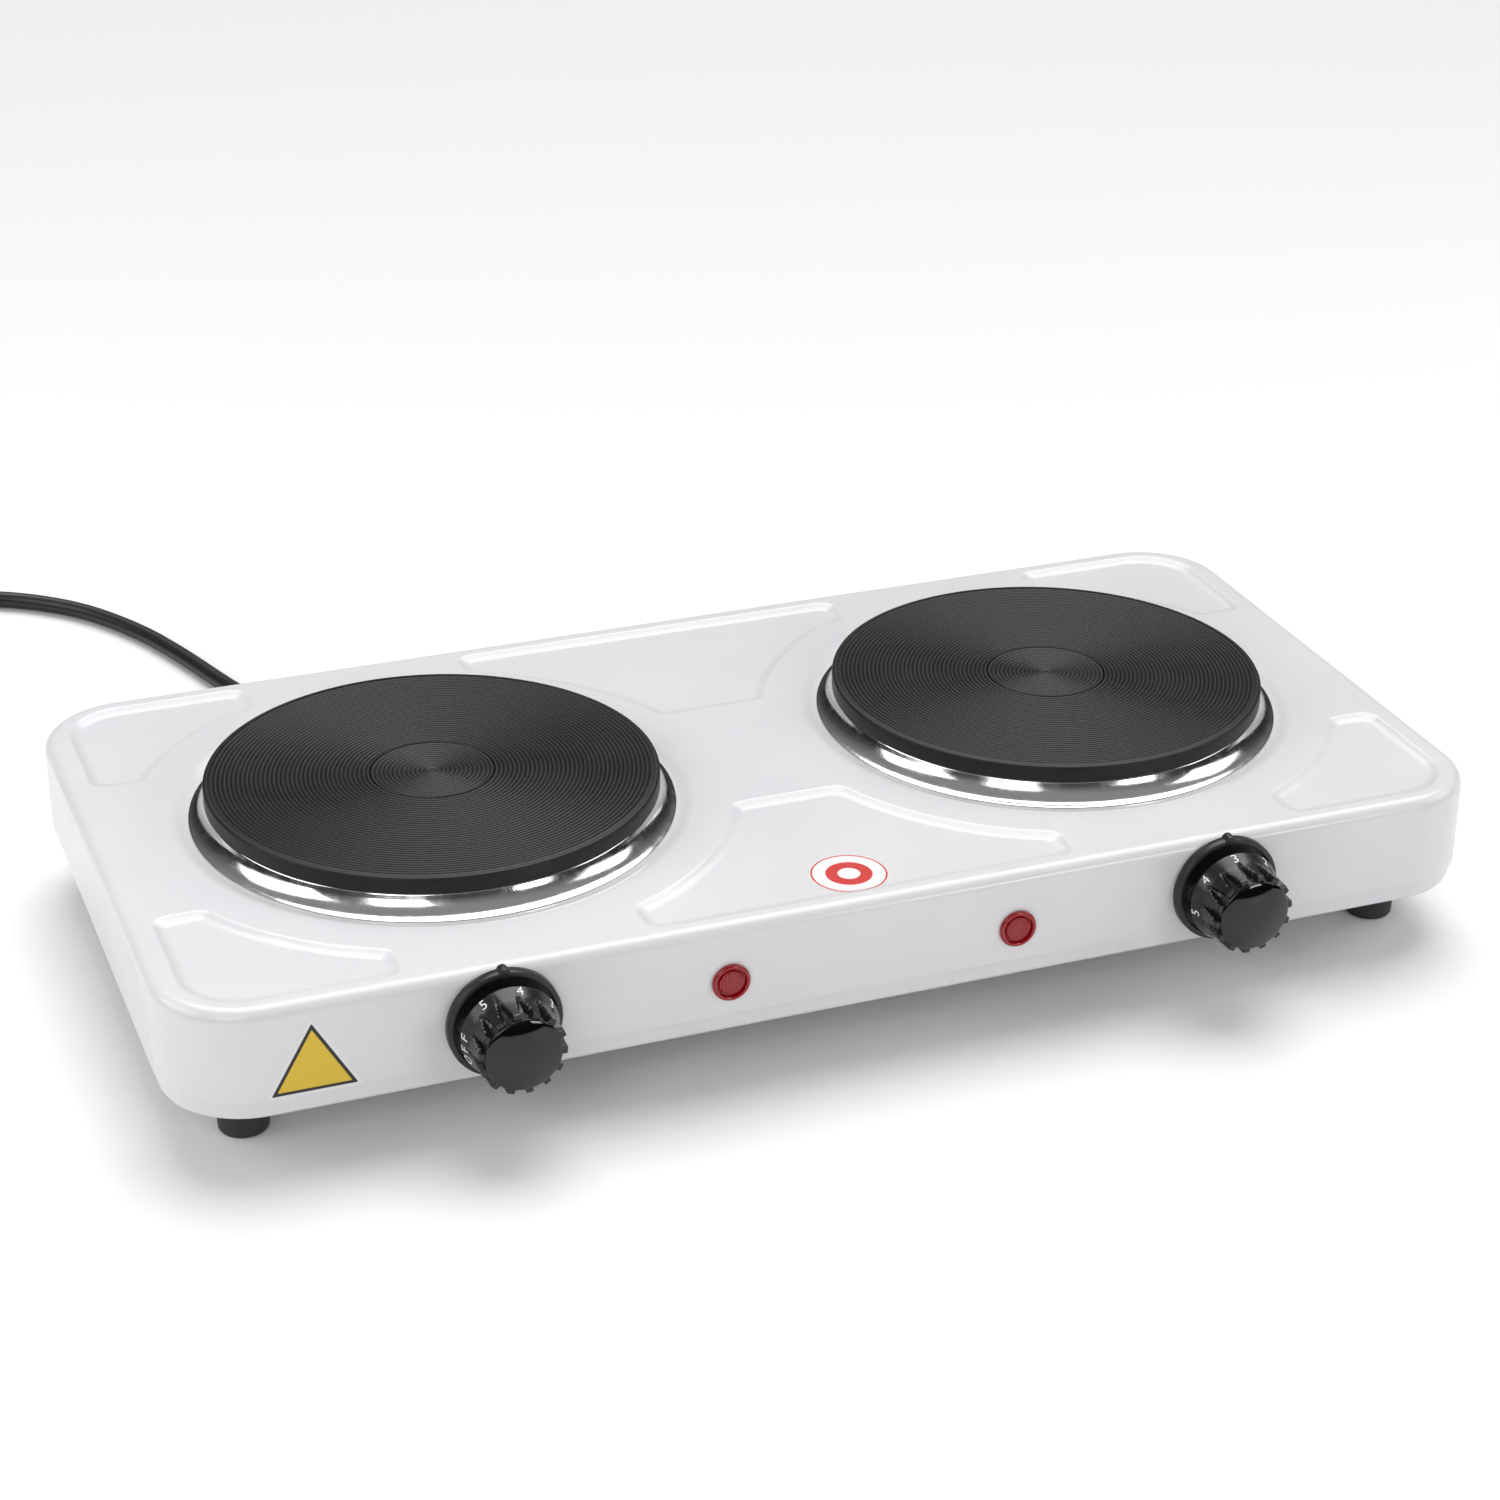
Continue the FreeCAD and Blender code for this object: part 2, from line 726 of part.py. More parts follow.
def knob(side):
    """Conical numbered skirt, ribbed grip and domed cap, hollow behind."""
    x = knob_x(side)
    cap_edge = knob_reach - cap_dome
    dome = []
    steps = 6
    for k in range(1, steps):
        a = math.radians(90.0 * k / steps)
        dome.append((cap_radius * math.cos(a), cap_edge + cap_dome * math.sin(a)))
    outline = [(skirt_radius, skirt_start), (skirt_radius, skirt_start + skirt_edge),
               (skirt_front_radius, skirt_end), (grip_radius + 0.3, skirt_end + 0.4),
               (grip_radius, cap_edge - cap_band), (cap_radius, cap_edge - cap_band), (cap_radius, cap_edge)]
    outline += dome
    inside = grip_radius - skirt_wall
    outline += [(0, knob_reach), (0, cap_edge - skirt_wall), (inside, cap_edge - skirt_wall),
                (inside, skirt_end), (skirt_front_radius - skirt_wall, skirt_end - skirt_wall),
                (skirt_radius - skirt_wall, skirt_start)]
    body = turned_out(outline, x, knob_height)
    hub = turned_out([(0, hub_start), (hub_radius, hub_start), (hub_radius, cap_edge - cap_band),
                      (0, cap_edge - cap_band)], x, knob_height)
    front = cap_edge - cap_band - rib_set_back
    back = skirt_end - 1.0
    root = grip_radius - rib_root
    ribs = []
    for k in range(rib_count):
        profile = [V(-rib_width / 2, 0, root), V(rib_width / 2, 0, root),
                   V(rib_width * rib_taper / 2, 0, rib_radius), V(-rib_width * rib_taper / 2, 0, rib_radius)]
        rib = Part.Face(Part.makePolygon(profile + profile[:1])).extrude(V(0, back - front, 0))
        rib.translate(V(0, -back, 0))
        rib.rotate(V(0, 0, 0), BACK, 360.0 * k / rib_count)
        rib.translate(V(x, front_y, knob_height))
        ribs.append(rib)
    solid = body.fuse([hub] + ribs).removeSplitter()
    bore = spindle_section(0)
    bore.translate(V(x, front_y, knob_height))
    return solid.cut(bore)


def thermostat(side):
    """Ceramic body of the bimetal regulator behind the front wall."""
    x = knob_x(side)
    y = front_y + sheet + bracket_sheet
    solid = block(x - thermostat_width / 2, x + thermostat_width / 2, y, y + thermostat_depth,
                  knob_height - thermostat_height / 2 + 2, knob_height + thermostat_height / 2 - 2)
    for screw_x in screw_places(side):
        solid = solid.cut(bar(screw_radius + 1.0, screw_x, knob_height, y - 1, y + 8))
    return solid.cut(bar(spindle_radius + spindle_gap, x, knob_height, y - 1, y + spindle_depth + 2))


def thermostat_bracket(side):
    x = knob_x(side)
    y = front_y + sheet
    solid = block(x - bracket_width / 2, x + bracket_width / 2, y, y + bracket_sheet,
                  knob_height - bracket_height / 2, knob_height + bracket_height / 2)
    for screw_x in screw_places(side):
        solid = solid.cut(bar(screw_radius, screw_x, knob_height, y - 1, y + 8))
    return solid.cut(bar(spindle_radius + 1, x, knob_height, y - 1, y + 3))


def thermostat_blades(side):
    """Two brass push-on tabs at the back of the regulator."""
    x = knob_x(side)
    y = front_y + sheet + bracket_sheet + thermostat_depth
    solids = []
    for across in (-1, 1):
        middle = x + across * blade_spread
        solids.append(block(middle - tab_blade / 2, middle + tab_blade / 2, y, y + blade_reach,
                            knob_height - blade_sheet / 2, knob_height + blade_sheet / 2))
    return group(solids)


def thermostat_screws():
    solids = []
    seat = front_y - bezel_floor
    shank_end = front_y + sheet + bracket_sheet + screw_up
    for name, side in sides:
        for x in screw_places(side):
            head = bar(screw_head, x, knob_height, seat - screw_head_height, seat)
            shank = bar(screw_radius, x, knob_height, seat, shank_end)
            solids.append(head.fuse(shank))
    return group(solids)


# ---- pilot lamps ----

def lamp_lens(side):
    """Red cup: flange and low dome in front of the wall, hollow barrel behind it."""
    wall = lamp_body - lamp_wall
    return turned_out([(0, -1), (wall, -1), (wall, -lamp_depth), (lamp_body, -lamp_depth), (lamp_body, 0),
                       (lamp_flange, 0), (lamp_flange, lamp_flange_height - 0.7),
                       (lamp_flange - 0.7, lamp_flange_height), (lamp_body + 0.6, lamp_flange_height),
                       (lamp_body, lamp_flange_height - 0.5), (lamp_body * 0.6, lamp_flange_height - 0.1),
                       (0, lamp_flange_height)], lamp_x(side), lamp_height)


def lamp_clip(side):
    """Spring washer that holds the lens from behind."""
    start = -sheet
    end = start - clip_height
    points = [(lamp_body, start), (lamp_body, end), (clip_radius - 1.5, end), (clip_radius, start - 1),
              (clip_radius, start)]
    return turned_out(points, lamp_x(side), lamp_height)


def neon_bulb(side):
    tip = -2.0
    end = tip - bulb_length
    base = lamp_body - lamp_wall
    points = [(0, tip), (bulb_radius * 0.7, tip - 0.8), (bulb_radius, tip - 2.2), (bulb_radius, end),
              (base, end), (base, end - 1), (0, end - 1)]
    return turned_out(points, lamp_x(side), lamp_height)


# ---- mains parts ----

def strain_relief():
    """Tapered rubber sleeve with a flange on each side of the back wall."""
    sleeve = turned([(0, -sheet), (relief_neck, -sheet), (relief_neck, 0), (relief_flange, 0),
                     (relief_flange, relief_flange_height), (relief_base, relief_flange_height),
                     (relief_tip, relief_length), (0, relief_length)], 0, 0)
    grip = turned([(0, -relief_inner_length), (relief_flange - 1, -relief_inner_length),
                   (relief_flange - 1, -sheet), (0, -sheet)], 0, 0)
    solid = sleeve.fuse(grip).removeSplitter()
    solid.rotate(V(0, 0, 0), V(1, 0, 0), -90)
    solid.translate(V(cord_exit_x, back_y, cord_exit_height))
    return solid


def cord_inner_end():
    end = back_y - relief_inner_length
    return bar(cord_radius, cord_exit_x, cord_exit_height, end - sheath_inside, end)


def mains_block():
    """Three-pole terminal block screwed to the pan."""
    y = body_y + block_y
    x = cord_exit_x
    top = pan_floor + block_height
    solid = block(x - block_length / 2, x + block_length / 2, y - block_width / 2, y + block_width / 2,
                  pan_floor, top)
    for pole in (-1, 0, 1):
        solid = solid.cut(post(block_well, x + pole * pole_pitch, y, top - block_well_depth, top + 1))
    return solid


def mains_block_screws():
    y = body_y + block_y
    top = pan_floor + block_height
    low = top - block_well_depth
    return group([post(block_screw, cord_exit_x + pole * pole_pitch, y, low, top - block_screw_sink)
                  for pole in (-1, 0, 1)])


def earth_screw():
    x = cord_exit_x + earth_x
    y = body_y + earth_y
    head = hexagon(earth_flats, x, y, pan_floor, pan_floor + earth_head_height)
    return head.fuse(post(screw_radius, x, y, pan_floor, pan_floor + earth_screw_up))


def lead(start, end, lane, low, first=14.0):
    """Insulated wire from the mains block forward along a lane over the pan, then up to a tab from behind."""
    side = math.copysign(1.0, lane)
    leave = (start[0], start[1] - first, start[2])
    arrive = (end[0], end[1] + 13.0, end[2])
    route = [start, leave]
    for share, back, up in ((0.3, 12.0, 0.0), (0.75, 22.0, 1.5), (1.0, 44.0, 0.0)):
        route.append((leave[0] + share * (lane - leave[0]), leave[1] - back, low + up))
    route += [(lane + side * 3.0, arrive[1] + 26.0, low + 2.0), arrive, end]
    return tube(route, lead_radius)


def lead_start(pole, height):
    """Front face of the mains block at one pole, at a height above the worktop."""
    return (cord_exit_x + pole * pole_pitch, body_y + block_y - block_width / 2, pan_floor + height)


def blade_end(side, across):
    """Tip of one of a regulator's two tabs; across is 1 for the outer one."""
    y = front_y + sheet + bracket_sheet + thermostat_depth + blade_reach
    return (knob_x(side) + side * across * blade_spread, y, knob_height)


def live_leads():
    """From the mains block to the outer tab of each regulator."""
    tab = knob_spacing / 2 + 32
    return group([lead(lead_start(-1, 4), blade_end(-1.0, 1), -tab, pan_floor + 3.5),
                  lead(lead_start(-1, 12.2), blade_end(1.0, 1), tab, pan_floor + 16.5)])


def plate_terminal(side, pole, face):
    """A terminal of a plate's ceramic block; face is -1 at its front, 1 at its back."""
    top = plate_top - plate_rim - plate_body_depth
    return (plate_x(side) + pole * terminal_length / 4, body_y + terminal_y + face * terminal_width / 2,
            top - terminal_height + 8)


def neutral_leads():
    """From the mains block to the inner terminal of each plate."""
    solids = []
    for side, start_z, low in ((-1.0, 4, 7.5), (1.0, 8.3, 11.5)):
        end = plate_terminal(side, -side, 1)
        solids.append(lead(lead_start(0, start_z), end, end[0] - side * 16, pan_floor + low, 15.0))
    return group(solids)


def switched_leads():
    """From the inner tab of each regulator to the outer terminal of its plate."""
    solids = []
    for name, side in sides:
        start = blade_end(side, -1)
        end = plate_terminal(side, side, -1)
        route = [start, (start[0], start[1] + 12, start[2]), (end[0], end[1] - 12, end[2]), end]
        solids.append(tube(route, lead_radius))
    return group(solids)


def earth_lead():
    start = lead_start(1, 8)
    screw_x = cord_exit_x + earth_x
    screw_y = body_y + earth_y - earth_flats / 2.0
    route = [start, (start[0], start[1] - 9, start[2]), (start[0] + 16, start[1] - 13, pan_floor + 4),
             (screw_x, screw_y - 12, pan_floor + 1.5), (screw_x, screw_y, pan_floor + 1.5)]
    return tube(route, lead_radius)


# ---- labels ----

def heat_label():
    """Rounded triangle on the front wall."""
    height = triangle_side * math.sqrt(3.0) / 2.0
    half = triangle_side / 2.0
    corners = [V(triangle_x - half, front_y, triangle_base), V(triangle_x + half, front_y, triangle_base),
               V(triangle_x, front_y, triangle_base + height)]
    solid = Part.Face(Part.makePolygon(corners + corners[:1])).extrude(V(0, -label_sheet, 0))
    across = [e for e in solid.Edges if e.BoundBox.YLength > label_sheet / 2 and e.BoundBox.XLength < 1e-6]
    return solid.makeFillet(triangle_round, across)


def touch_label():
    """Round film in the front panel that follows the panel's floor and the foot of its slope."""
    floor = case_top - panel_depth
    window = panel_windows()[2]
    disc = post(round_label_radius, round_label_x, body_y + round_label_y, floor, case_top - label_sheet)
    under = panel_press(window, floor)
    return disc.common(under).cut(panel_press(window, floor + label_sheet, -label_sheet))


# ---- cord, coil and plug ----

def coil_entry():
    return (coil_x + coil_stub, coil_y + coil_middle + cord_radius, coil_lift + cord_radius)


def coil_exit():
    return (coil_x - coil_middle, coil_y - coil_stub, coil_lift + cord_radius * 2.9)


def power_cord():
    """From the strain relief down to the worktop, round to the coil, and from the coil to the plug."""
    start = (cord_exit_x, back_y + relief_length, cord_exit_height)
    entry = coil_entry()
    route = [start, (cord_exit_x, 190, cord_exit_height), (-150.5, 212, 35), (-152, 236, 21), (-156, 258, 9.5),
             (-161, 276, 4.9), (-167, 296, 4.0), (-178, 332, 4.0), (-193, 371, 4.0), (-219, 411, 4.2),
             (-262, entry[1], entry[2]), entry]
    leave = coil_exit()
    arrive = plug_start()
    tail = [leave, (leave[0], leave[1] - 11, leave[2]), (arrive.x, arrive.y + 10, arrive.z),
            (arrive.x, arrive.y, arrive.z)]
    return group([tube(route, cord_radius, "cord"), tube(tail, cord_radius, "tail")])


def cord_coil():
    """Outer shape of two turns side by side, with the last quarter turn lying on top of them."""
    r = cord_radius
    low = coil_lift - coil_sag
    high = low + coil_layer
    inside = coil_middle - 2 * r
    outside = coil_middle + 2 * r + coil_slack
    edge = coil_edge
    section = [(inside + edge, low), (outside - edge, low), (outside, low + edge), (outside, high - edge),
               (outside - edge, high), (inside + edge, high), (inside, high - edge), (inside, low + edge)]
    ring = turned(section, coil_x, coil_y)
    entry = coil_entry()
    stub_in = Part.makeCylinder(r, coil_stub, V(coil_x, entry[1], entry[2]), V(1, 0, 0))
    leave = coil_exit()
    stub_out = Part.makeCylinder(r, coil_stub, V(leave[0], leave[1], leave[2]), BACK)
    over = Part.makeTorus(coil_middle, r, V(0, 0, 0), UP, 0, 360, coil_over)
    over.rotate(V(0, 0, 0), UP, 180.0 - coil_over)
    over.translate(V(coil_x, coil_y, leave[2]))
    return ring.fuse([stub_in, stub_out, over]).removeSplitter()


def coil_tie():
    """Flat strap round the coil's two turns, on the side towards the plug."""
    low = coil_lift - coil_sag
    top = low + coil_layer
    near = coil_y - coil_middle - 2 * cord_radius - coil_slack
    far = coil_y - coil_middle + 2 * cord_radius + tie_slack
    x0 = coil_x - tie_width / 2
    x1 = coil_x + tie_width / 2
    outer = block(x0, x1, near - tie_sheet, far + tie_sheet, 0, top + tie_sheet)
    return outer.cut(block(x0 - 1, x1 + 1, near, far, low, top))


def plug_start():
    """Where the cord enters the plug's sleeve."""
    return V(coil_exit()[0] + 2, coil_exit()[1] - plug_gap, plug_height / 2)


def plug_body():
    """Moulded plug: flat-bottomed body and a tapered sleeve."""
    start = plug_start()
    back = start.y - plug_sleeve
    front = back - plug_length
    body = block(start.x - plug_width / 2, start.x + plug_width / 2, front, back, 0, plug_height)
    long_edges = [e for e in body.Edges if e.BoundBox.YLength > plug_length - 1]
    body = body.makeFillet(plug_round, long_edges)
    rear = [e for e in body.Edges if e.BoundBox.YMin > back - 1e-4]
    body = body.makeChamfer(plug_bevel, rear)
    sleeve = Part.makeCone(plug_sleeve_back, plug_tip, plug_sleeve + 2, V(start.x, back - 2, start.z), BACK)
    return body.fuse(sleeve).removeSplitter()


def plug_pins():
    """Two flat blades and a round earth pin."""
    start = plug_start()
    face = start.y - plug_sleeve - plug_length
    solids = []
    for across in (-0.5, 0.5):
        x = start.x + across * pin_spacing
        solids.append(block(x - pin_sheet / 2, x + pin_sheet / 2, face - pin_length, face, start.z + 1,
                            start.z + 1 + pin_width))
    z = start.z - earth_pin_drop
    solids.append(bar(earth_pin_radius, start.x, z, face - pin_length - earth_pin_extra, face))
    return group(solids)


save("top_cover", top_cover())
save("bottom_pan", bottom_pan())
save("pan_brackets", pan_brackets())
save("pan_screws", pan_screws())
for name, x, y in foot_places():
    save(name, foot(x, y))
save("foot_screws", foot_screws())
save("foot_nuts", foot_nuts())
for name, side in sides:
    save(name + "_plate", plate(side))
    save(name + "_trim_ring", trim_ring(side))
    save(name + "_heater_core", heater_core(side))
    save(name + "_plate_closure", plate_closure(side))
    save(name + "_terminal_block", terminal_block(side))
    save(name + "_clamp_bridge", clamp_bridge(side))
    save(name + "_thermostat", thermostat(side))
    save(name + "_thermostat_bracket", thermostat_bracket(side))
    save(name + "_thermostat_blades", thermostat_blades(side))
    save(name + "_spindle", spindle(side))
    save(name + "_knob", knob(side))
    save(name + "_bezel", bezel(side))
    save(name + "_lamp_lens", lamp_lens(side))
    save(name + "_lamp_clip", lamp_clip(side))
    save(name + "_neon_bulb", neon_bulb(side))
save("terminal_screws", terminal_screws())
save("plate_studs", plate_studs())
save("plate_nuts", plate_nuts())
save("thermostat_screws", thermostat_screws())
save("strain_relief", strain_relief())
save("cord_inner_end", cord_inner_end())
save("mains_block", mains_block())
save("mains_block_screws", mains_block_screws())
save("earth_screw", earth_screw())
save("live_leads", live_leads())
save("neutral_leads", neutral_leads())
save("switched_leads", switched_leads())
save("earth_lead", earth_lead())
save("heat_label", heat_label())
save("touch_label", touch_label())
save("power_cord", power_cord())
save("cord_coil", cord_coil())
save("coil_tie", coil_tie())
save("plug_body", plug_body())
save("plug_pins", plug_pins())
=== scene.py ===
import math
import bpy
from mathutils import Euler, Matrix, Vector


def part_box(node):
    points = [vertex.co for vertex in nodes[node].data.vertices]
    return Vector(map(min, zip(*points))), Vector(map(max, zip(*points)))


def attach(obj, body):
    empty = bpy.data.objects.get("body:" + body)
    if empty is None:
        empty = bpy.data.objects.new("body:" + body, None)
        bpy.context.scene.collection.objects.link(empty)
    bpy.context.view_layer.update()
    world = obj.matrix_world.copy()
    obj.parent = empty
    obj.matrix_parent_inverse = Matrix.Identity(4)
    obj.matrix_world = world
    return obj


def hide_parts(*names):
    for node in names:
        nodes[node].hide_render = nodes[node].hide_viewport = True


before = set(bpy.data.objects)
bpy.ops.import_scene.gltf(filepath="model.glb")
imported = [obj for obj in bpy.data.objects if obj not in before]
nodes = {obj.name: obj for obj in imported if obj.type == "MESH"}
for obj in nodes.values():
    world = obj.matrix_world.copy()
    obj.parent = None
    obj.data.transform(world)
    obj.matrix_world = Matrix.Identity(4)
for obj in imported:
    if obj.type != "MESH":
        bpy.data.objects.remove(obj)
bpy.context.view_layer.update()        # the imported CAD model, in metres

mm = 0.001
plateX = 137.5          # a plate's middle, to each side
plateY = 15.25
caseFront = -124.75          # outer face of the front wall


def clear():
    if bpy.context.mode != "OBJECT":
        bpy.ops.object.mode_set(mode="OBJECT")
    bpy.ops.object.select_all(action="DESELECT")


def pick(*pieces):
    clear()
    for piece in pieces:
        piece.select_set(True)
    bpy.context.view_layer.objects.active = pieces[0]


# camera, at the angle the plate is seen from on the worktop
cameraPlan = {"azimuth": -21.03, "elevation": 26.41, "roll": 0.42, "distance": 1.4202,
              "target": (0.01312, 0.04772, 0.052), "lens": 78.62}
clear()
bpy.ops.object.camera_add()
camera = bpy.context.object
camera.name = "camera"
camera.data.lens = cameraPlan["lens"]
aim = Euler((math.radians(90 - cameraPlan["elevation"]), 0, math.radians(cameraPlan["azimuth"]))).to_matrix()
aim = aim @ Matrix.Rotation(math.radians(cameraPlan["roll"]), 3, "Z")
camera.rotation_euler = aim.to_euler()
camera.location = Vector(cameraPlan["target"]) + aim @ Vector((0, 0, cameraPlan["distance"]))
bpy.context.scene.camera = camera
print("camera placed")


# materials

def tint(code):          # sRGB hex to the linear colour Blender wants
    levels = [int(code[k:k + 2], 16) / 255 for k in (1, 3, 5)]
    return tuple(c / 12.92 if c <= 0.04045 else ((c + 0.055) / 1.055) ** 2.4 for c in levels) + (1.0,)


# links come in from other nodes, feeds go on to them
def addNode(material, kind, settings={}, links={}, feeds={}):
    tree = material.node_tree
    node = tree.nodes.new(kind)
    for name, value in settings.items():
        if name == "stops":
            elements = node.color_ramp.elements
            elements.remove(elements[1])
            elements[0].position, elements[0].color = value[0][0], tint(value[0][1])
            for position, colour in value[1:]:
                elements.new(position).color = tint(colour)
        elif isinstance(name, int) or name in node.inputs:
            node.inputs[name].default_value = value
        else:
            setattr(node, name, value)
    for name, source in links.items():
        tree.links.new(source, node.inputs[name])
    for name, target in feeds.items():
        tree.links.new(node.outputs[name], target)
    return node


def newMaterial(name, settings):
    material = bpy.data.materials.new(name)
    material.use_nodes = True
    shader = material.node_tree.nodes["Principled BSDF"]
    for key, value in settings.items():
        shader.inputs[key].default_value = value
    where = addNode(material, "ShaderNodeTexCoord").outputs["Object"]
    return material, shader.inputs, where


# stove enamel: sprayed white paint baked on steel, glossy with a faint orange peel
enamel, surface, where = newMaterial("whiteStoveEnamel", {"Base Color": tint("#E0E0E2"), "Roughness": 0.2,
                                                          "IOR": 1.5})
# peel has 2.4 mm cells, wiping marks are about 5 cm
peel = addNode(enamel, "ShaderNodeTexNoise", {"Scale": 420, "Detail": 2}, {"Vector": where})
film = addNode(enamel, "ShaderNodeTexNoise", {"Scale": 18, "Detail": 4}, {"Vector": where})
addNode(enamel, "ShaderNodeBump", {"Strength": 0.12, "Distance": 0.00006}, {"Height": peel.outputs["Fac"]},
        {"Normal": surface["Normal"]})
addNode(enamel, "ShaderNodeMapRange", {"To Min": 0.17, "To Max": 0.27}, {"Value": film.outputs["Fac"]},
        {"Result": surface["Roughness"]})
addNode(enamel, "ShaderNodeValToRGB", {"stops": ((0.3, "#DEDEE1"), (0.7, "#E2E2E4"))},
        {"Fac": film.outputs["Fac"]}, {"Color": surface["Base Color"]})

# zinc plated steel: bright, a little blue, with dull patches
zinc, surface, where = newMaterial("zincPlatedSteel", {"Base Color": tint("#B4B8BD"), "Metallic": 1,
                                                       "Roughness": 0.34})
patch = addNode(zinc, "ShaderNodeTexNoise", {"Scale": 250, "Detail": 5}, {"Vector": where})          # 4 mm
addNode(zinc, "ShaderNodeMapRange", {"To Min": 0.24, "To Max": 0.5}, {"Value": patch.outputs["Fac"]},
        {"Result": surface["Roughness"]})
addNode(zinc, "ShaderNodeValToRGB", {"stops": ((0.3, "#A9ADB3"), (0.7, "#BDC1C6"))},
        {"Fac": patch.outputs["Fac"]}, {"Color": surface["Base Color"]})

# brass tabs and terminal screws, plain stamped
brass, surface, where = newMaterial("stampedBrass", {"Base Color": tint("#C8A860"), "Metallic": 1,
                                                     "Roughness": 0.3})
patch = addNode(brass, "ShaderNodeTexNoise", {"Scale": 700, "Detail": 3}, {"Vector": where})
addNode(brass, "ShaderNodeMapRange", {"To Min": 0.22, "To Max": 0.42}, {"Value": patch.outputs["Fac"]},
        {"Result": surface["Roughness"]})
addNode(brass, "ShaderNodeValToRGB", {"stops": ((0.3, "#BE9C54"), (0.7, "#D0B26C"))},
        {"Fac": patch.outputs["Fac"]}, {"Color": surface["Base Color"]})

# steatite: fired ceramic of the heater cores and terminals, chalky
steatite, surface, where = newMaterial("firedSteatite", {"Base Color": tint("#D8D0BE"), "Roughness": 0.75})
grit = addNode(steatite, "ShaderNodeTexNoise", {"Scale": 1500, "Detail": 4}, {"Vector": where})
addNode(steatite, "ShaderNodeBump", {"Strength": 0.3, "Distance": 0.0001}, {"Height": grit.outputs["Fac"]},
        {"Normal": surface["Normal"]})
addNode(steatite, "ShaderNodeValToRGB", {"stops": ((0.35, "#CFC6B2"), (0.65, "#DDD6C6"))},
        {"Fac": grit.outputs["Fac"]}, {"Color": surface["Base Color"]})


def turnedIron(name, centreX):
    # cast iron turned on a lathe and coated black: dull, fine tool rings and a faint grain
    material, surface, where = newMaterial(name, {"Base Color": tint("#161517"), "Roughness": 0.42,
                                           "IOR": 1.5, "Specular IOR Level": 0.32})
    centred = addNode(material, "ShaderNodeMapping", {"Location": (-centreX * mm, -plateY * mm, 0)},
                      {"Vector": where})
    # tool feed 0.6 mm, grain 0.55 mm, clouds 2 cm
    rings = addNode(material, "ShaderNodeTexWave",
                    {"wave_type": "RINGS", "rings_direction": "Z", "Scale": 523, "Distortion": 0.6, "Detail": 2,
                     "Detail Scale": 0.4}, {"Vector": centred.outputs["Vector"]})
    grain = addNode(material, "ShaderNodeTexNoise", {"Scale": 1800, "Detail": 4}, {"Vector": where})
    cloud = addNode(material, "ShaderNodeTexNoise", {"Scale": 45, "Detail": 5}, {"Vector": where})
    height = addNode(material, "ShaderNodeMath", {"operation": "MULTIPLY_ADD", 1: 0.5},
                     {0: grain.outputs["Fac"], 2: rings.outputs["Fac"]})
    addNode(material, "ShaderNodeBump", {"Strength": 0.22, "Distance": 0.00005},
            {"Height": height.outputs["Value"]}, {"Normal": surface["Normal"]})
    addNode(material, "ShaderNodeValToRGB", {"stops": ((0.3, "#121113"), (0.72, "#1A191B"))},
            {"Fac": cloud.outputs["Fac"]}, {"Color": surface["Base Color"]})
    addNode(material, "ShaderNodeMapRange", {"To Min": 0.36, "To Max": 0.5}, {"Value": cloud.outputs["Fac"]},
            {"Result": surface["Roughness"]})
    return material


def spunStainless(name, centreX):
    # stainless strip, spun and polished: mirror-like with fine rings and small scuffs
    material, surface, where = newMaterial(name, {"Base Color": tint("#DAD7D7"), "Metallic": 1,
                                                  "Roughness": 0.13})
    centred = addNode(material, "ShaderNodeMapping", {"Location": (-centreX * mm, -plateY * mm, 0)},
                      {"Vector": where})
    # spinning marks 0.4 mm apart
    rings = addNode(material, "ShaderNodeTexWave",
                    {"wave_type": "RINGS", "rings_direction": "Z", "Scale": 785, "Distortion": 1.5, "Detail": 3},
                    {"Vector": centred.outputs["Vector"]})
    scuff = addNode(material, "ShaderNodeTexNoise", {"Scale": 160, "Detail": 6, "Roughness": 0.65},
                    {"Vector": where})
    addNode(material, "ShaderNodeBump", {"Strength": 0.1, "Distance": 0.00002},
            {"Height": rings.outputs["Fac"]}, {"Normal": surface["Normal"]})
    addNode(material, "ShaderNodeMapRange",
            {"From Min": 0.35, "From Max": 0.8, "To Min": 0.09, "To Max": 0.26},
            {"Value": scuff.outputs["Fac"]}, {"Result": surface["Roughness"]})
    return material


def mouldedPlastic(name, colour, low, high, grainSize, depth):
    # moulded plastic or rubber: even colour, a fine spark-eroded grain and slightly uneven gloss
    material, surface, where = newMaterial(name, {"Base Color": tint(colour), "Roughness": low, "IOR": 1.5})
    grain = addNode(material, "ShaderNodeTexNoise", {"Scale": 1000 / grainSize, "Detail": 3},
                    {"Vector": where})
    wear = addNode(material, "ShaderNodeTexNoise", {"Scale": 120, "Detail": 4}, {"Vector": where})
    addNode(material, "ShaderNodeBump", {"Strength": 0.25, "Distance": depth * mm},
            {"Height": grain.outputs["Fac"]}, {"Normal": surface["Normal"]})
    addNode(material, "ShaderNodeMapRange", {"To Min": low, "To Max": high}, {"Value": wear.outputs["Fac"]},
            {"Result": surface["Roughness"]})
    return material


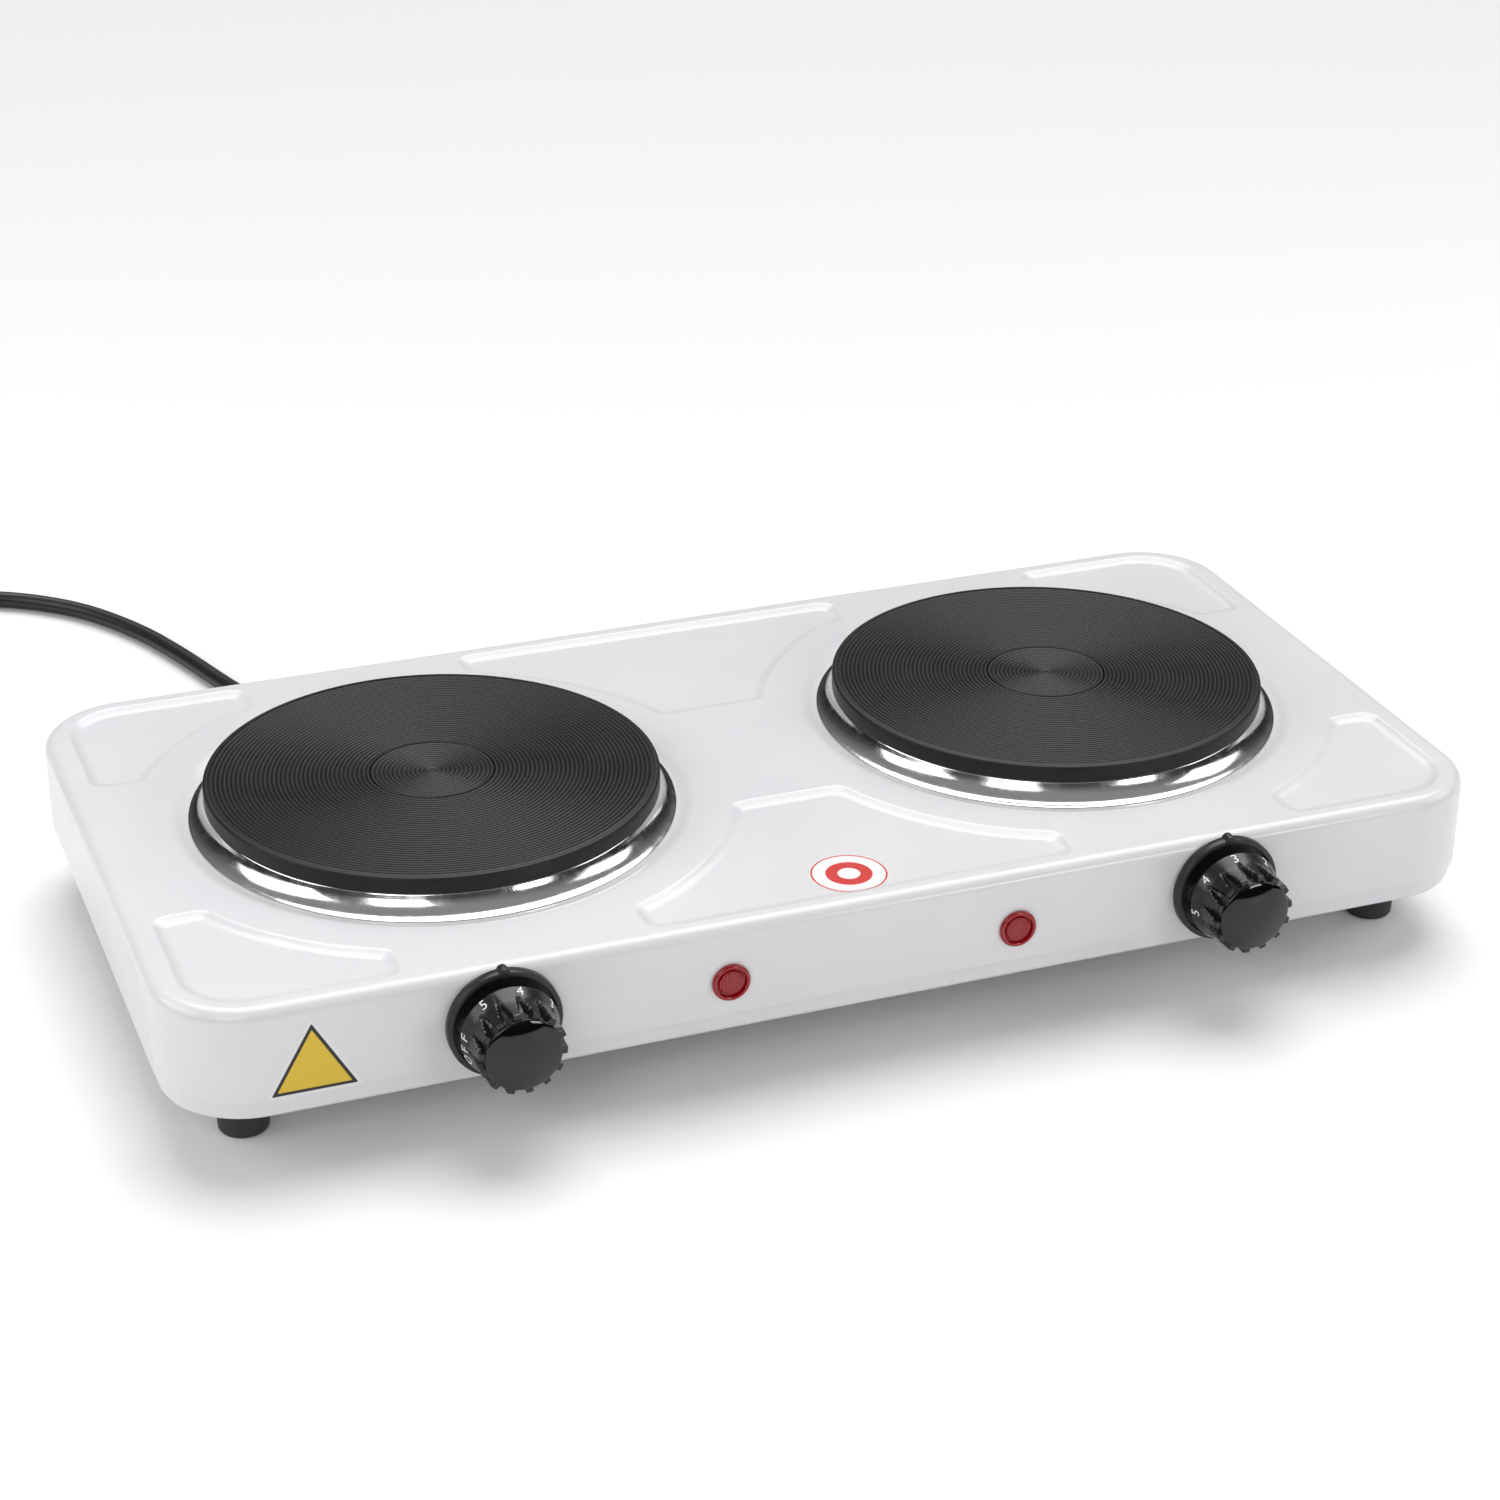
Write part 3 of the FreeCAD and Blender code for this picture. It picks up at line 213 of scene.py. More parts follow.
skirtBlack = mouldedPlastic("blackPhenolicSkirt", "#171719", 0.22, 0.32, 0.5, 0.02)
capBlack = mouldedPlastic("glossBlackPhenolicCap", "#09090B", 0.04, 0.08, 1.2, 0.003)
bezelBlack = mouldedPlastic("blackBezelNylon", "#1C1C1E", 0.34, 0.46, 0.4, 0.03)
footRubber = mouldedPlastic("mouldedFootRubber", "#303133", 0.55, 0.7, 0.4, 0.04)
cordVinyl = mouldedPlastic("blackCordVinyl", "#141416", 0.32, 0.44, 0.8, 0.02)
plugVinyl = mouldedPlastic("blackPlugVinyl", "#1A1A1C", 0.4, 0.52, 0.5, 0.04)
tieNylon = mouldedPlastic("blackTieNylon", "#161617", 0.4, 0.5, 0.6, 0.02)
blockNylon = mouldedPlastic("paleBlockNylon", "#D6D2C6", 0.4, 0.5, 0.6, 0.02)
brownWire = mouldedPlastic("brownWireVinyl", "#6B4226", 0.35, 0.45, 0.6, 0.01)
blueWire = mouldedPlastic("blueWireVinyl", "#2F62B5", 0.35, 0.45, 0.6, 0.01)
greenWire = mouldedPlastic("greenWireVinyl", "#4E9A3C", 0.35, 0.45, 0.6, 0.01)
printWhite = mouldedPlastic("whitePadPrint", "#E9E9E7", 0.4, 0.5, 0.3, 0.005)
labelClear = mouldedPlastic("paleLabelFilm", "#E6E6E8", 0.2, 0.28, 2.5, 0.004)
labelYellow = mouldedPlastic("yellowLabelFilm", "#DDBB2C", 0.25, 0.33, 2.5, 0.004)
labelDark = mouldedPlastic("blackLabelInk", "#1C1B17", 0.35, 0.45, 2.5, 0.004)
leftIron = turnedIron("blackTurnedIronLeft", -plateX)
rightIron = turnedIron("blackTurnedIronRight", plateX)
leftSteel = spunStainless("spunStainlessLeft", -plateX)
rightSteel = spunStainless("spunStainlessRight", plateX)

# clear red polycarbonate of the pilot lamps, moulded with a slightly wavy inside; its faint red emission is a painted
# glow, since the neon bulb behind it is unlit
lensRedPaintedGlow, surface, where = newMaterial("redLampPolycarbonatePaintedGlow", {
    "Base Color": tint("#A0080E"), "Roughness": 0.05, "IOR": 1.55, "Transmission Weight": 0.2,
    "Emission Color": tint("#8C0A0E"), "Emission Strength": 0.05})
wave = addNode(lensRedPaintedGlow, "ShaderNodeTexNoise", {"Scale": 600, "Detail": 2}, {"Vector": where})
addNode(lensRedPaintedGlow, "ShaderNodeBump", {"Strength": 0.2, "Distance": 0.0001}, {"Height": wave.outputs["Fac"]},
        {"Normal": surface["Normal"]})

# neon bulb: thin clear glass
bulbGlass, surface, where = newMaterial("clearBulbGlass", {"Base Color": tint("#EFE6DC"), "Roughness": 0.03,
                                        "Transmission Weight": 0.9, "IOR": 1.5})
wave = addNode(bulbGlass, "ShaderNodeTexNoise", {"Scale": 300}, {"Vector": where})
addNode(bulbGlass, "ShaderNodeBump", {"Strength": 0.1, "Distance": 0.0001}, {"Height": wave.outputs["Fac"]},
        {"Normal": surface["Normal"]})
print("materials made")


# mains cord: from the back of the case along the worktop, a flat coil, then the plug
cordPlan = {"radius": 4.0, "length": 1.0, "coilX": -335, "coilY": 395, "stepsPerTurn": 16,
            "exit": (-0.150, 0.17525, 0.0435),
            "route": [(-150, 175.25, 43.5), (-150, 190, 43.5), (-150.5, 212, 35), (-152, 236, 21), (-156, 258, 9.5),
                      (-161, 276, 4.9), (-167, 296, 4.0), (-178, 332, 4.0), (-193, 371, 4.0), (-219, 411, 4.2),
                      (-262, 439, 4.6), (-305, 439, 4.6)],
            "tail": [(-375, 380, 12.4), (-375, 365, 12.2), (-375, 354, 12), (-373, 343, 12), (-373, 333, 12)],
            # angle round the coil, radius, height
            "turns": [(90, 43.5, 4.6), (380, 43.5, 4.6), (415, 40.1, 4.6), (450, 35.6, 4.6), (690, 36, 4.6),
                      (720, 36, 6.4), (750, 37.6, 10.2), (780, 39.4, 12.4), (810, 40, 12.6), (900, 40, 12.6)]}


def between(table, angle):
    for low, high in zip(table, table[1:]):
        if angle <= high[0]:
            share = (angle - low[0]) / (high[0] - low[0])
            return [a + share * (b - a) for a, b in zip(low[1:], high[1:])]
    return list(table[-1][1:])


cordPoints = list(cordPlan["route"])
step = 360 / cordPlan["stepsPerTurn"]
pull = 1 / math.cos(math.radians(step / 2))          # the spline runs inside its points by this much
for k in range(0, int(810 / step) + 1):
    angle = 90 + k * step
    radius, height = between(cordPlan["turns"], angle)
    turn = math.radians(angle)
    reach = radius * pull
    cordPoints.append((cordPlan["coilX"] + reach * math.cos(turn), cordPlan["coilY"] + reach * math.sin(turn), height))
cordPoints += cordPlan["tail"]
line = bpy.data.curves.new("mainsCord", "CURVE")
line.dimensions = "3D"
line.bevel_depth = cordPlan["radius"] * mm
line.bevel_resolution = 5
line.resolution_u = 10
spline = line.splines.new("NURBS")
spline.points.add(len(cordPoints) - 1)
for point, place in zip(spline.points, cordPoints):
    point.co = (place[0] * mm, place[1] * mm, place[2] * mm, 1)
spline.order_u = 3
spline.use_endpoint_u = True
mainsCord = bpy.data.objects.new("mainsCord", line)
bpy.context.collection.objects.link(mainsCord)
line.materials.append(cordVinyl)
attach(mainsCord, "housing")
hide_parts("power_cord", "cord_coil")
print("cord laid")


# shapes by turning: (radius, height) in millimetres, swept from the first ring to the last

def turnedPiece(name, profile, material, place, outward=False, sides=96, closed=False, angle=35):
    clear()
    bpy.ops.mesh.primitive_circle_add(vertices=sides, radius=profile[0][0] * mm, location=(0, 0, profile[0][1] * mm))
    piece = bpy.context.object
    piece.name = name
    bpy.ops.object.transform_apply(location=True)
    bpy.ops.object.mode_set(mode="EDIT")
    bpy.ops.mesh.select_all(action="SELECT")
    if not closed:
        bpy.ops.mesh.edge_face_add()
    for (r0, h0), (r1, h1) in zip(profile, profile[1:]):
        bpy.ops.mesh.extrude_edges_move(TRANSFORM_OT_translate={"value": (0, 0, (h1 - h0) * mm)})
        if r1 == 0:
            bpy.ops.mesh.merge(type="CENTER")
        else:
            bpy.ops.transform.resize(value=(r1 / r0, r1 / r0, 1), center_override=(0, 0, 0))
    if profile[-1][0] > 0 and not closed:
        bpy.ops.mesh.edge_face_add()
    bpy.ops.mesh.select_all(action="SELECT")
    bpy.ops.mesh.remove_doubles(threshold=0.000001)
    bpy.ops.mesh.normals_make_consistent(inside=False)
    bpy.ops.object.mode_set(mode="OBJECT")
    if outward:
        piece.rotation_euler = (math.radians(90), 0, 0)
    piece.location = [c * mm for c in place]
    bpy.ops.object.transform_apply(location=True, rotation=True, scale=True)
    piece.data.materials.append(material)
    bpy.ops.object.shade_smooth_by_angle(angle=math.radians(angle))
    return piece


def settle(piece, body, slot, *stoodFor):          # rides its body and stands for its CAD nodes
    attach(piece, body)
    if stoodFor:
        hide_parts(*stoodFor)


def frameCopy(node, name, material, slot, angle=35):          # a CAD node's shape, merged and smoothed
    clear()
    piece = nodes[node].copy()
    piece.data = nodes[node].data.copy()
    piece.name = name
    bpy.context.collection.objects.link(piece)
    piece.parent = None
    piece.matrix_world = Matrix.Identity(4)
    piece.data.materials.clear()
    piece.data.materials.append(material)
    pick(piece)
    bpy.ops.object.mode_set(mode="EDIT")
    bpy.ops.mesh.select_all(action="SELECT")
    bpy.ops.mesh.remove_doubles(threshold=0.000002)
    bpy.ops.object.mode_set(mode="OBJECT")
    bpy.ops.mesh.customdata_custom_splitnormals_clear()
    bpy.ops.object.shade_smooth_by_angle(angle=math.radians(angle))
    bpy.ops.object.modifier_add(type="WEIGHTED_NORMAL")
    piece.modifiers[-1].keep_sharp = True
    piece.modifiers[-1].weight = 100
    bpy.ops.object.modifier_apply(modifier=piece.modifiers[-1].name)
    settle(piece, "housing", slot, node)
    return piece


frameCopy("top_cover", "caseCover", enamel, "enamel_white")
frameCopy("bottom_pan", "casePan", enamel, "enamel_white")
print("case made")


# hot plates: turned grooves, a plain border and a fine circle near the middle
platePlan = {"top": 84, "grooveStart": 89.6, "pitch": 1.8, "depth": 0.42, "circle": 26}
top = platePlan["top"]
grooves = [(92.5, 78), (92.5, 83.1), (92.25, 83.65), (91.7, 83.92), (91.0, 84), (90.5, 84), (90.3, 83.7),
           (90.0, 83.7)]
radius = platePlan["grooveStart"]
while radius > 1.5:
    deep = platePlan["depth"] * (1.0 if radius > platePlan["circle"] else 0.7)
    if abs(radius - platePlan["circle"]) < 0.9:
        deep *= 2.2
    grooves += [(radius, top - 0.04), (radius - 0.45, top), (radius - 0.9, top - 0.04), (radius - 1.35, top - deep)]
    radius -= platePlan["pitch"]
platePoints = [(3, 76), (3, 66), (18, 66), (18, 74), (78, 74), (78, 66), (86, 66), (86, 77), (92.1, 77), (92.5, 77.3)]
platePoints += grooves + [(0.9, top - 0.1), (0.4, top - 0.5), (0, top - 0.6)]
for side, name, iron in ((-1, "left", leftIron), (1, "right", rightIron)):
    plate = turnedPiece(name + "HotPlate", platePoints, iron, (side * plateX, plateY, 0), sides=144, angle=50)
    settle(plate, "housing", "plate_iron", name + "_plate")

# trim rings: strip trapped under the plate's rim that flares down to its seat in the cover
ringPoints = [(86.3, 76.4), (86.3, 77), (91.0, 77), (91.6, 76.7), (91.9, 76.1), (92.3, 75.0), (92.9, 73.8),
              (93.7, 72.6), (94.7, 71.4), (95.8, 70.4), (96.9, 69.7), (97.9, 69.25), (98.7, 69.05), (99, 68.9),
              (99, 68.6), (98.6, 68.45), (97.6, 68.7), (96.4, 69.3), (95.2, 70.2), (94.1, 71.3), (93.1, 72.6),
              (92.3, 73.9), (91.7, 75.1), (91.3, 76.0), (90.8, 76.4), (86.3, 76.4)]
for side, name, steel in ((-1, "left", leftSteel), (1, "right", rightSteel)):
    ring = turnedPiece(name + "TrimRing", ringPoints, steel, (side * plateX, plateY, 0), sides=160,
                       closed=True, angle=60)
    settle(ring, "housing", "stainless", name + "_trim_ring")
print("hot plates made")


# controls, on the front wall
dialPlan = {"x": 151.4, "wall": caseFront, "height": 48.2, "ribs": 14, "stepsPerRib": 18,
            "leftTurn": 263, "rightTurn": 199.5, "scoopStart": 14.6, "ribFront": 26.6, "scoopDepth": 3.1,
            "printSize": 4.3, "printHeight": 12.4, "printRadius": 18.55, "fontShare": 1.36,
            "pointerRadius": 2.3, "pointerDepth": 5.2, "pointerUp": 21.7,
            # numerals every 46 degrees from 1 to 5, then a wider step to off
            "marks": [("O", 15), ("F", 0), ("F", -15)] + [(str(k), 68.5 + 46 * k) for k in range(1, 6)]}
bezelPoints = [(8, 0), (22.0, 0), (22.4, 0.5), (22.4, 3.9), (22.15, 4.4), (21.6, 4.6), (20.5, 4.6), (20.15, 4.3),
               (20.1, 1.0), (8, 1.0), (8, 0)]
# numbered cone, hollow behind, that runs on as ribs
dialBack = [(6.4, 3.0), (6.4, 13), (16.2, 13), (17.3, 9.6), (18.9, 9.5), (19.25, 9.65), (19.3, 10.0), (19.2, 10.4)]
dialCone = [(17.9, 14.2), (17.55, 15.4), (17.4, 16.8), (17.3, 18.6), (17.25, 21), (17.2, 24), (17.2, 26.1),
            (17.0, 26.5)]
dialFront = [(16.6, 26.6), (13.4, 26.6), (13.4, 26.9)]
capPoints = [(13.2, 26.6), (14.4, 26.6), (14.85, 26.7), (15.0, 27.0), (14.9, 27.3), (14.5, 27.6)]
capPoints += [(14.5 - k, 27.6 + 2.9 * (1 - ((14.5 - k) / 14.5) ** 2)) for k in range(1, 14)] + [(0, 30.5)]


def flutedDial():          # numbered cone that runs into ribs, with scoops that widen towards the cap
    pitch = 360 / dialPlan["ribs"]
    cone = []
    for (r0, h0), (r1, h1) in zip(dialCone, dialCone[1:]):
        steps = max(1, round((h1 - h0) / 0.6))
        cone += [(r0 + (r1 - r0) * k / steps, h0 + (h1 - h0) * k / steps) for k in range(steps)]
    sides = dialPlan["ribs"] * dialPlan["stepsPerRib"]
    profile = dialBack + cone + dialCone[-1:] + dialFront
    piece = turnedPiece("dial", profile, skirtBlack, (0, 0, 0), sides=sides, angle=40)
    pick(piece)
    reach = dialPlan["ribFront"] - dialPlan["scoopStart"]
    for vertex in piece.data.vertices:
        radius = math.hypot(vertex.co.x, vertex.co.y) / mm
        # 0 where a scoop starts, 1 at the ribs' front
        along = (vertex.co.z / mm - dialPlan["scoopStart"]) / reach
        if radius < 15.5 or along <= 0:
            continue
        turn = math.degrees(math.atan2(vertex.co.y, vertex.co.x)) % pitch / pitch
        halfWidth = 0.1 + 0.23 * min(1, along * 1.3)
        inside = (halfWidth - abs(turn - 0.5)) / 0.09
        floor = radius - dialPlan["scoopDepth"] * min(1, along * 2.2) ** 0.7
        sunk = radius + (floor - radius) * min(1, max(0, inside))
        vertex.co.x *= sunk / radius
        vertex.co.y *= sunk / radius
    bpy.ops.object.shade_smooth_by_angle(angle=math.radians(32))
    return piece


# one printed character on the cone, its foot towards the cap
def printMark(letter, turn, dial, turned):
    clear()
    bpy.ops.object.text_add()
    mark = bpy.context.object
    mark.data.body = letter
    mark.data.size = dialPlan["printSize"] * dialPlan["fontShare"] * mm
    mark.data.extrude = 0.03 * mm
    mark.data.align_x = "CENTER"
    mark.data.align_y = "CENTER"
    (rimRadius, rimHeight), (ribRadius, ribHeight) = dialBack[-1], dialCone[0]
    slope = math.atan2(rimRadius - ribRadius, ribHeight - rimHeight)
    tilt = Matrix(((1, 0, 0), (0, math.cos(slope), -math.sin(slope)), (0, math.sin(slope), math.cos(slope)))).to_4x4()
    out = Matrix.Translation((0, -dialPlan["printHeight"] * mm, dialPlan["printRadius"] * mm))
    middle = Matrix.Translation((dial * mm, dialPlan["wall"] * mm, dialPlan["height"] * mm))
    spin = Matrix.Rotation(math.radians(turned - turn), 4, "Y")
    mark.matrix_world = middle @ spin @ out @ tilt
    bpy.ops.object.convert(target="MESH")
    bpy.ops.object.transform_apply(location=True, rotation=True, scale=True)
    mark = bpy.context.object
    mark.data.materials.append(printWhite)
    return mark


dialModel = flutedDial()
capModel = turnedPiece("dialCap", capPoints, capBlack, (0, 0, 0), sides=96, angle=50)
for side, name in ((-1, "left"), (1, "right")):
    x = side * dialPlan["x"]
    turned = dialPlan[name + "Turn"]
    place = (x, dialPlan["wall"], dialPlan["height"])
    bezel = turnedPiece(name + "Bezel", bezelPoints, bezelBlack, place, outward=True, closed=True, angle=40)
    clear()
    middle = (x, dialPlan["wall"] - dialPlan["pointerDepth"] / 2, dialPlan["height"] + dialPlan["pointerUp"])
    bpy.ops.mesh.primitive_cylinder_add(vertices=24, radius=dialPlan["pointerRadius"] * mm,
                                        depth=dialPlan["pointerDepth"] * mm, location=[c * mm for c in middle],
                                        rotation=(math.radians(90), 0, 0))
    pointer = bpy.context.object
    bpy.ops.object.transform_apply(location=True, rotation=True, scale=True)
    pointer.data.materials.append(bezelBlack)
    bpy.ops.object.modifier_add(type="BEVEL")
    pointer.modifiers[-1].width = 0.5 * mm
    pointer.modifiers[-1].segments = 3
    pointer.modifiers[-1].angle_limit = math.radians(50)
    bpy.ops.object.modifier_apply(modifier=pointer.modifiers[-1].name)
    bpy.ops.object.shade_smooth_by_angle(angle=math.radians(40))
    pick(bezel, pointer)
    bpy.ops.object.join()
    settle(bezel, "housing", "bezel_black", name + "_bezel")
    pieces = []
    for model, label in ((dialModel, "Dial"), (capModel, "DialCap")):
        copy = model.copy()
        copy.data = model.data.copy()
        copy.name = name + label
        bpy.context.collection.objects.link(copy)
        pick(copy)
        aimed = Matrix.Rotation(math.radians(turned), 3, "Y") @ Matrix.Rotation(math.radians(90), 3, "X")
        copy.rotation_euler = aimed.to_euler()
        copy.location = [c * mm for c in place]
        bpy.ops.object.transform_apply(location=True, rotation=True, scale=True)
        pieces.append(copy)
    settle(pieces[0], name + "_dial", "knob_black", name + "_knob")
    settle(pieces[1], name + "_dial", "knob_black")
    marks = [printMark(letter, turn, x, turned) for letter, turn in dialPlan["marks"]]
    pick(*marks)
    bpy.ops.object.join()
    marks[0].name = name + "DialNumbers"
    settle(marks[0], name + "_dial", "knob_black")
bpy.data.objects.remove(dialModel)
bpy.data.objects.remove(capModel)
print("dials made")


# pilot lamps: a rim round a sunk disc, with ribs under it
lampPlan = {"x": 60.4, "wall": caseFront, "height": 46, "ribs": 7, "ribStep": 1.25, "ribReach": 4.6,
            "ribRadius": 0.32, "ribOut": 1.4}
lampPoints = [(3.8, -1.0), (3.8, -15.8), (4.6, -16), (4.9, -15.6), (5.0, 0), (7.5, 0), (7.75, 0.3), (7.75, 1.1),
              (7.55, 1.55), (7.1, 1.8), (6.6, 1.8), (6.25, 1.6), (6.1, 0.9), (5.8, 0.35), (5.45, 0.35),
              (5.2, 0.9), (4.9, 1.3), (3.0, 1.5), (0, 1.6)]
for side, name in ((-1, "left"), (1, "right")):
    x = side * lampPlan["x"]
    lens = turnedPiece(name + "LampLens", lampPoints, lensRedPaintedGlow, (x, lampPlan["wall"], lampPlan["height"]),
                       outward=True, sides=64, angle=40)
    ribs = []
    for k in range(lampPlan["ribs"]):
        across = (k - lampPlan["ribs"] // 2) * lampPlan["ribStep"]
        tall = 2 * math.sqrt(lampPlan["ribReach"] ** 2 - across ** 2)
        middle = (x + across, lampPlan["wall"] - lampPlan["ribOut"], lampPlan["height"])
        clear()
        bpy.ops.mesh.primitive_cylinder_add(vertices=12, radius=lampPlan["ribRadius"] * mm, depth=tall * mm,
                                            location=[c * mm for c in middle])
        rib = bpy.context.object
        bpy.ops.object.transform_apply(location=True, rotation=True, scale=True)
        rib.data.materials.append(lensRedPaintedGlow)
        ribs.append(rib)
    pick(lens, *ribs)
    bpy.ops.object.join()
    settle(lens, "housing", "lens_red", name + "_lamp_lens")
print("lamps made")


# rubber feet
footPoints = [(4.6, 12), (4.6, 0.3), (4.9, 0), (8.3, 0), (9.2, 0.35), (9.75, 1.2), (9.9, 2.4), (10.75, 22.2),
              (10.8, 22.8), (10.6, 23), (2.0, 23), (2.0, 12), (4.6, 12)]
for node in ("foot_front_left", "foot_front_right", "foot_rear_left", "foot_rear_right"):
    low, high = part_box(node)
    middle = ((low[0] + high[0]) / 2 / mm, (low[1] + high[1]) / 2 / mm, 0)
    foot = turnedPiece(node.title().replace("_", ""), footPoints, footRubber, middle, sides=64, closed=True, angle=40)
    settle(foot, "housing", "foot_rubber", node)
print("feet made")


# strain relief: tapered sleeve with bending ribs
reliefPlan = {"wall": 155.25, "height": 43.5}
reliefPoints = [(6.4, 6), (6.4, 0.7), (5.6, 0.6), (5.6, 0), (8.0, 0), (8.4, -0.4), (8.4, -1.6), (8.0, -2.0),
                (6.7, -2.1)]
for k in range(4):
    start = -3.4 - k * 3.5
    wide = 6.5 - 0.35 * k
    reliefPoints += [(wide, start), (wide - 0.1, start - 0.3), (4.5, start - 0.5), (4.5, start - 1.4),
                     (wide - 0.2, start - 1.6)]
reliefPoints += [(4.75, -18.6), (4.7, -19.6), (4.5, -20), (4.0, -20)]
low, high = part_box("strain_relief")
middle = ((low[0] + high[0]) / 2 / mm, reliefPlan["wall"], reliefPlan["height"])
relief = turnedPiece("strainRelief", reliefPoints, cordVinyl, middle, outward=True, sides=48, angle=35)
settle(relief, "housing", "cord_black", "strain_relief")


# plug: flat body with finger grooves, a ribbed sleeve, and its pins
plugPlan = {"x": -373, "start": 333, "height": 12, "width": 26, "tall": 24, "length": 36, "sleeve": 24}
clear()
back = plugPlan["start"] - plugPlan["sleeve"]
middle = (plugPlan["x"], back - plugPlan["length"] / 2, plugPlan["height"])
bpy.ops.mesh.primitive_cube_add(size=mm, location=[c * mm for c in middle])
plug = bpy.context.object
plug.name = "plugBody"
plug.scale = (plugPlan["width"], plugPlan["length"], plugPlan["tall"])
bpy.ops.object.transform_apply(location=True, rotation=True, scale=True)
bpy.ops.object.mode_set(mode="EDIT")
bpy.ops.mesh.select_all(action="SELECT")
bpy.ops.mesh.subdivide(number_cuts=5)
bpy.ops.object.mode_set(mode="OBJECT")
for vertex in plug.data.vertices:
    along = (back * mm - vertex.co.y) / (plugPlan["length"] * mm)          # 0 at the cord, 1 at the pins
    waist = 1 - 0.16 * math.sin(math.pi * min(1, along * 1.15)) - 0.1 * max(0, 0.35 - along)
    vertex.co.x = plugPlan["x"] * mm + (vertex.co.x - plugPlan["x"] * mm) * waist
pick(plug)
bpy.ops.object.modifier_add(type="BEVEL")
plug.modifiers[-1].width = 3.2 * mm
plug.modifiers[-1].segments = 5
plug.modifiers[-1].limit_method = "ANGLE"
plug.modifiers[-1].angle_limit = math.radians(60)
bpy.ops.object.modifier_apply(modifier=plug.modifiers[-1].name)
plug.data.materials.append(plugVinyl)
bpy.ops.object.shade_smooth_by_angle(angle=math.radians(35))
sleevePoints = [(7.4, 2.5), (7.4, 0.2)]
for k in range(5):
    start = -1.2 - k * 4.2
    wide = 7.2 - 0.36 * k
    sleevePoints += [(wide, start), (wide - 0.1, start - 1.4), (4.6, start - 1.8), (4.6, start - 2.7)]
sleevePoints += [(5.2, -22.0), (4.9, -23.4), (4.7, -24), (4.0, -24)]
sleeve = turnedPiece("plugSleeve", sleevePoints, plugVinyl, (plugPlan["x"], back, plugPlan["height"]),
                     outward=True, sides=48)
pick(plug, sleeve)
bpy.ops.object.join()
settle(plug, "housing", "plug_black", "plug_body")
tie = frameCopy("coil_tie", "coilTie", tieNylon, "tie_black")
print("plug made")


# plain triangle on film: each layer stands a little further out
triPlan = {"x": -224.0, "low": 31.5, "tall": 32.909,
           "layers": [("heatLabelFilm", 21.6, 0.08, labelClear, 2.2), ("heatLabelBorder", 18.9, 0.12, labelDark, 0.5),
                      ("heatLabelField", 16.3, 0.16, labelYellow, 0.5)]}
pieces = []
for name, reach, thick, material, corner in triPlan["layers"]:
    middle = (triPlan["x"], caseFront - thick / 2, triPlan["low"] + triPlan["tall"] / 3)
    clear()
    bpy.ops.mesh.primitive_cylinder_add(vertices=3, radius=reach * mm, depth=thick * mm,
                                        location=[c * mm for c in middle], rotation=(math.radians(90), 0, 0))
    piece = bpy.context.object
    piece.name = name
    bpy.ops.object.transform_apply(location=True, rotation=True, scale=True)
    piece.data.materials.append(material)
    bpy.ops.object.modifier_add(type="BEVEL")
    piece.modifiers[-1].width = corner * mm
    piece.modifiers[-1].segments = 4
    piece.modifiers[-1].limit_method = "ANGLE"
    piece.modifiers[-1].angle_limit = math.radians(100)
    bpy.ops.object.modifier_apply(modifier=piece.modifiers[-1].name)
    pieces.append(piece)
pick(*pieces)
bpy.ops.object.join()
settle(pieces[0], "housing", "label_yellow", "heat_label")
# the round label lies over the bend of a panel, so its rings are printed on the film's own shape
roundPlan = {"x": -1.0, "y": -98.25, "reach": 16,          # the inks start at these radii
             "rings": ((0, "#F1F0F0"), (4.5, "#D3332B"), (9.3, "#F1F0F0"), (14.5, "#D3332B"), (15.2, "#F1F0F0"))}
labelPrint, surface, where = newMaterial("printedRoundLabel", {"Base Color": tint("#F1F0F0"), "Roughness": 0.3})
shift = (-roundPlan["x"] * mm, -roundPlan["y"] * mm, 0)
fromMiddle = addNode(labelPrint, "ShaderNodeVectorMath", {"operation": "MULTIPLY_ADD", 1: (1, 1, 0), 2: shift},
                     {0: where})
distance = addNode(labelPrint, "ShaderNodeVectorMath", {"operation": "LENGTH"},
                   {0: fromMiddle.outputs["Vector"]})
rings = addNode(labelPrint, "ShaderNodeMapRange", {"From Max": roundPlan["reach"] * mm},
                {"Value": distance.outputs["Value"]})
stops = [(radius / roundPlan["reach"], colour) for radius, colour in roundPlan["rings"]]
inks = addNode(labelPrint, "ShaderNodeValToRGB", {"stops": stops}, {"Fac": rings.outputs["Result"]},
               {"Color": surface["Base Color"]})
inks.color_ramp.interpolation = "CONSTANT"
fibre = addNode(labelPrint, "ShaderNodeTexNoise", {"Scale": 400, "Detail": 3}, {"Vector": where})
addNode(labelPrint, "ShaderNodeMapRange", {"To Min": 0.25, "To Max": 0.34}, {"Value": fibre.outputs["Fac"]},
        {"Result": surface["Roughness"]})
frameCopy("touch_label", "roundLabelFilm", labelPrint, "label_white")
print("labels made")


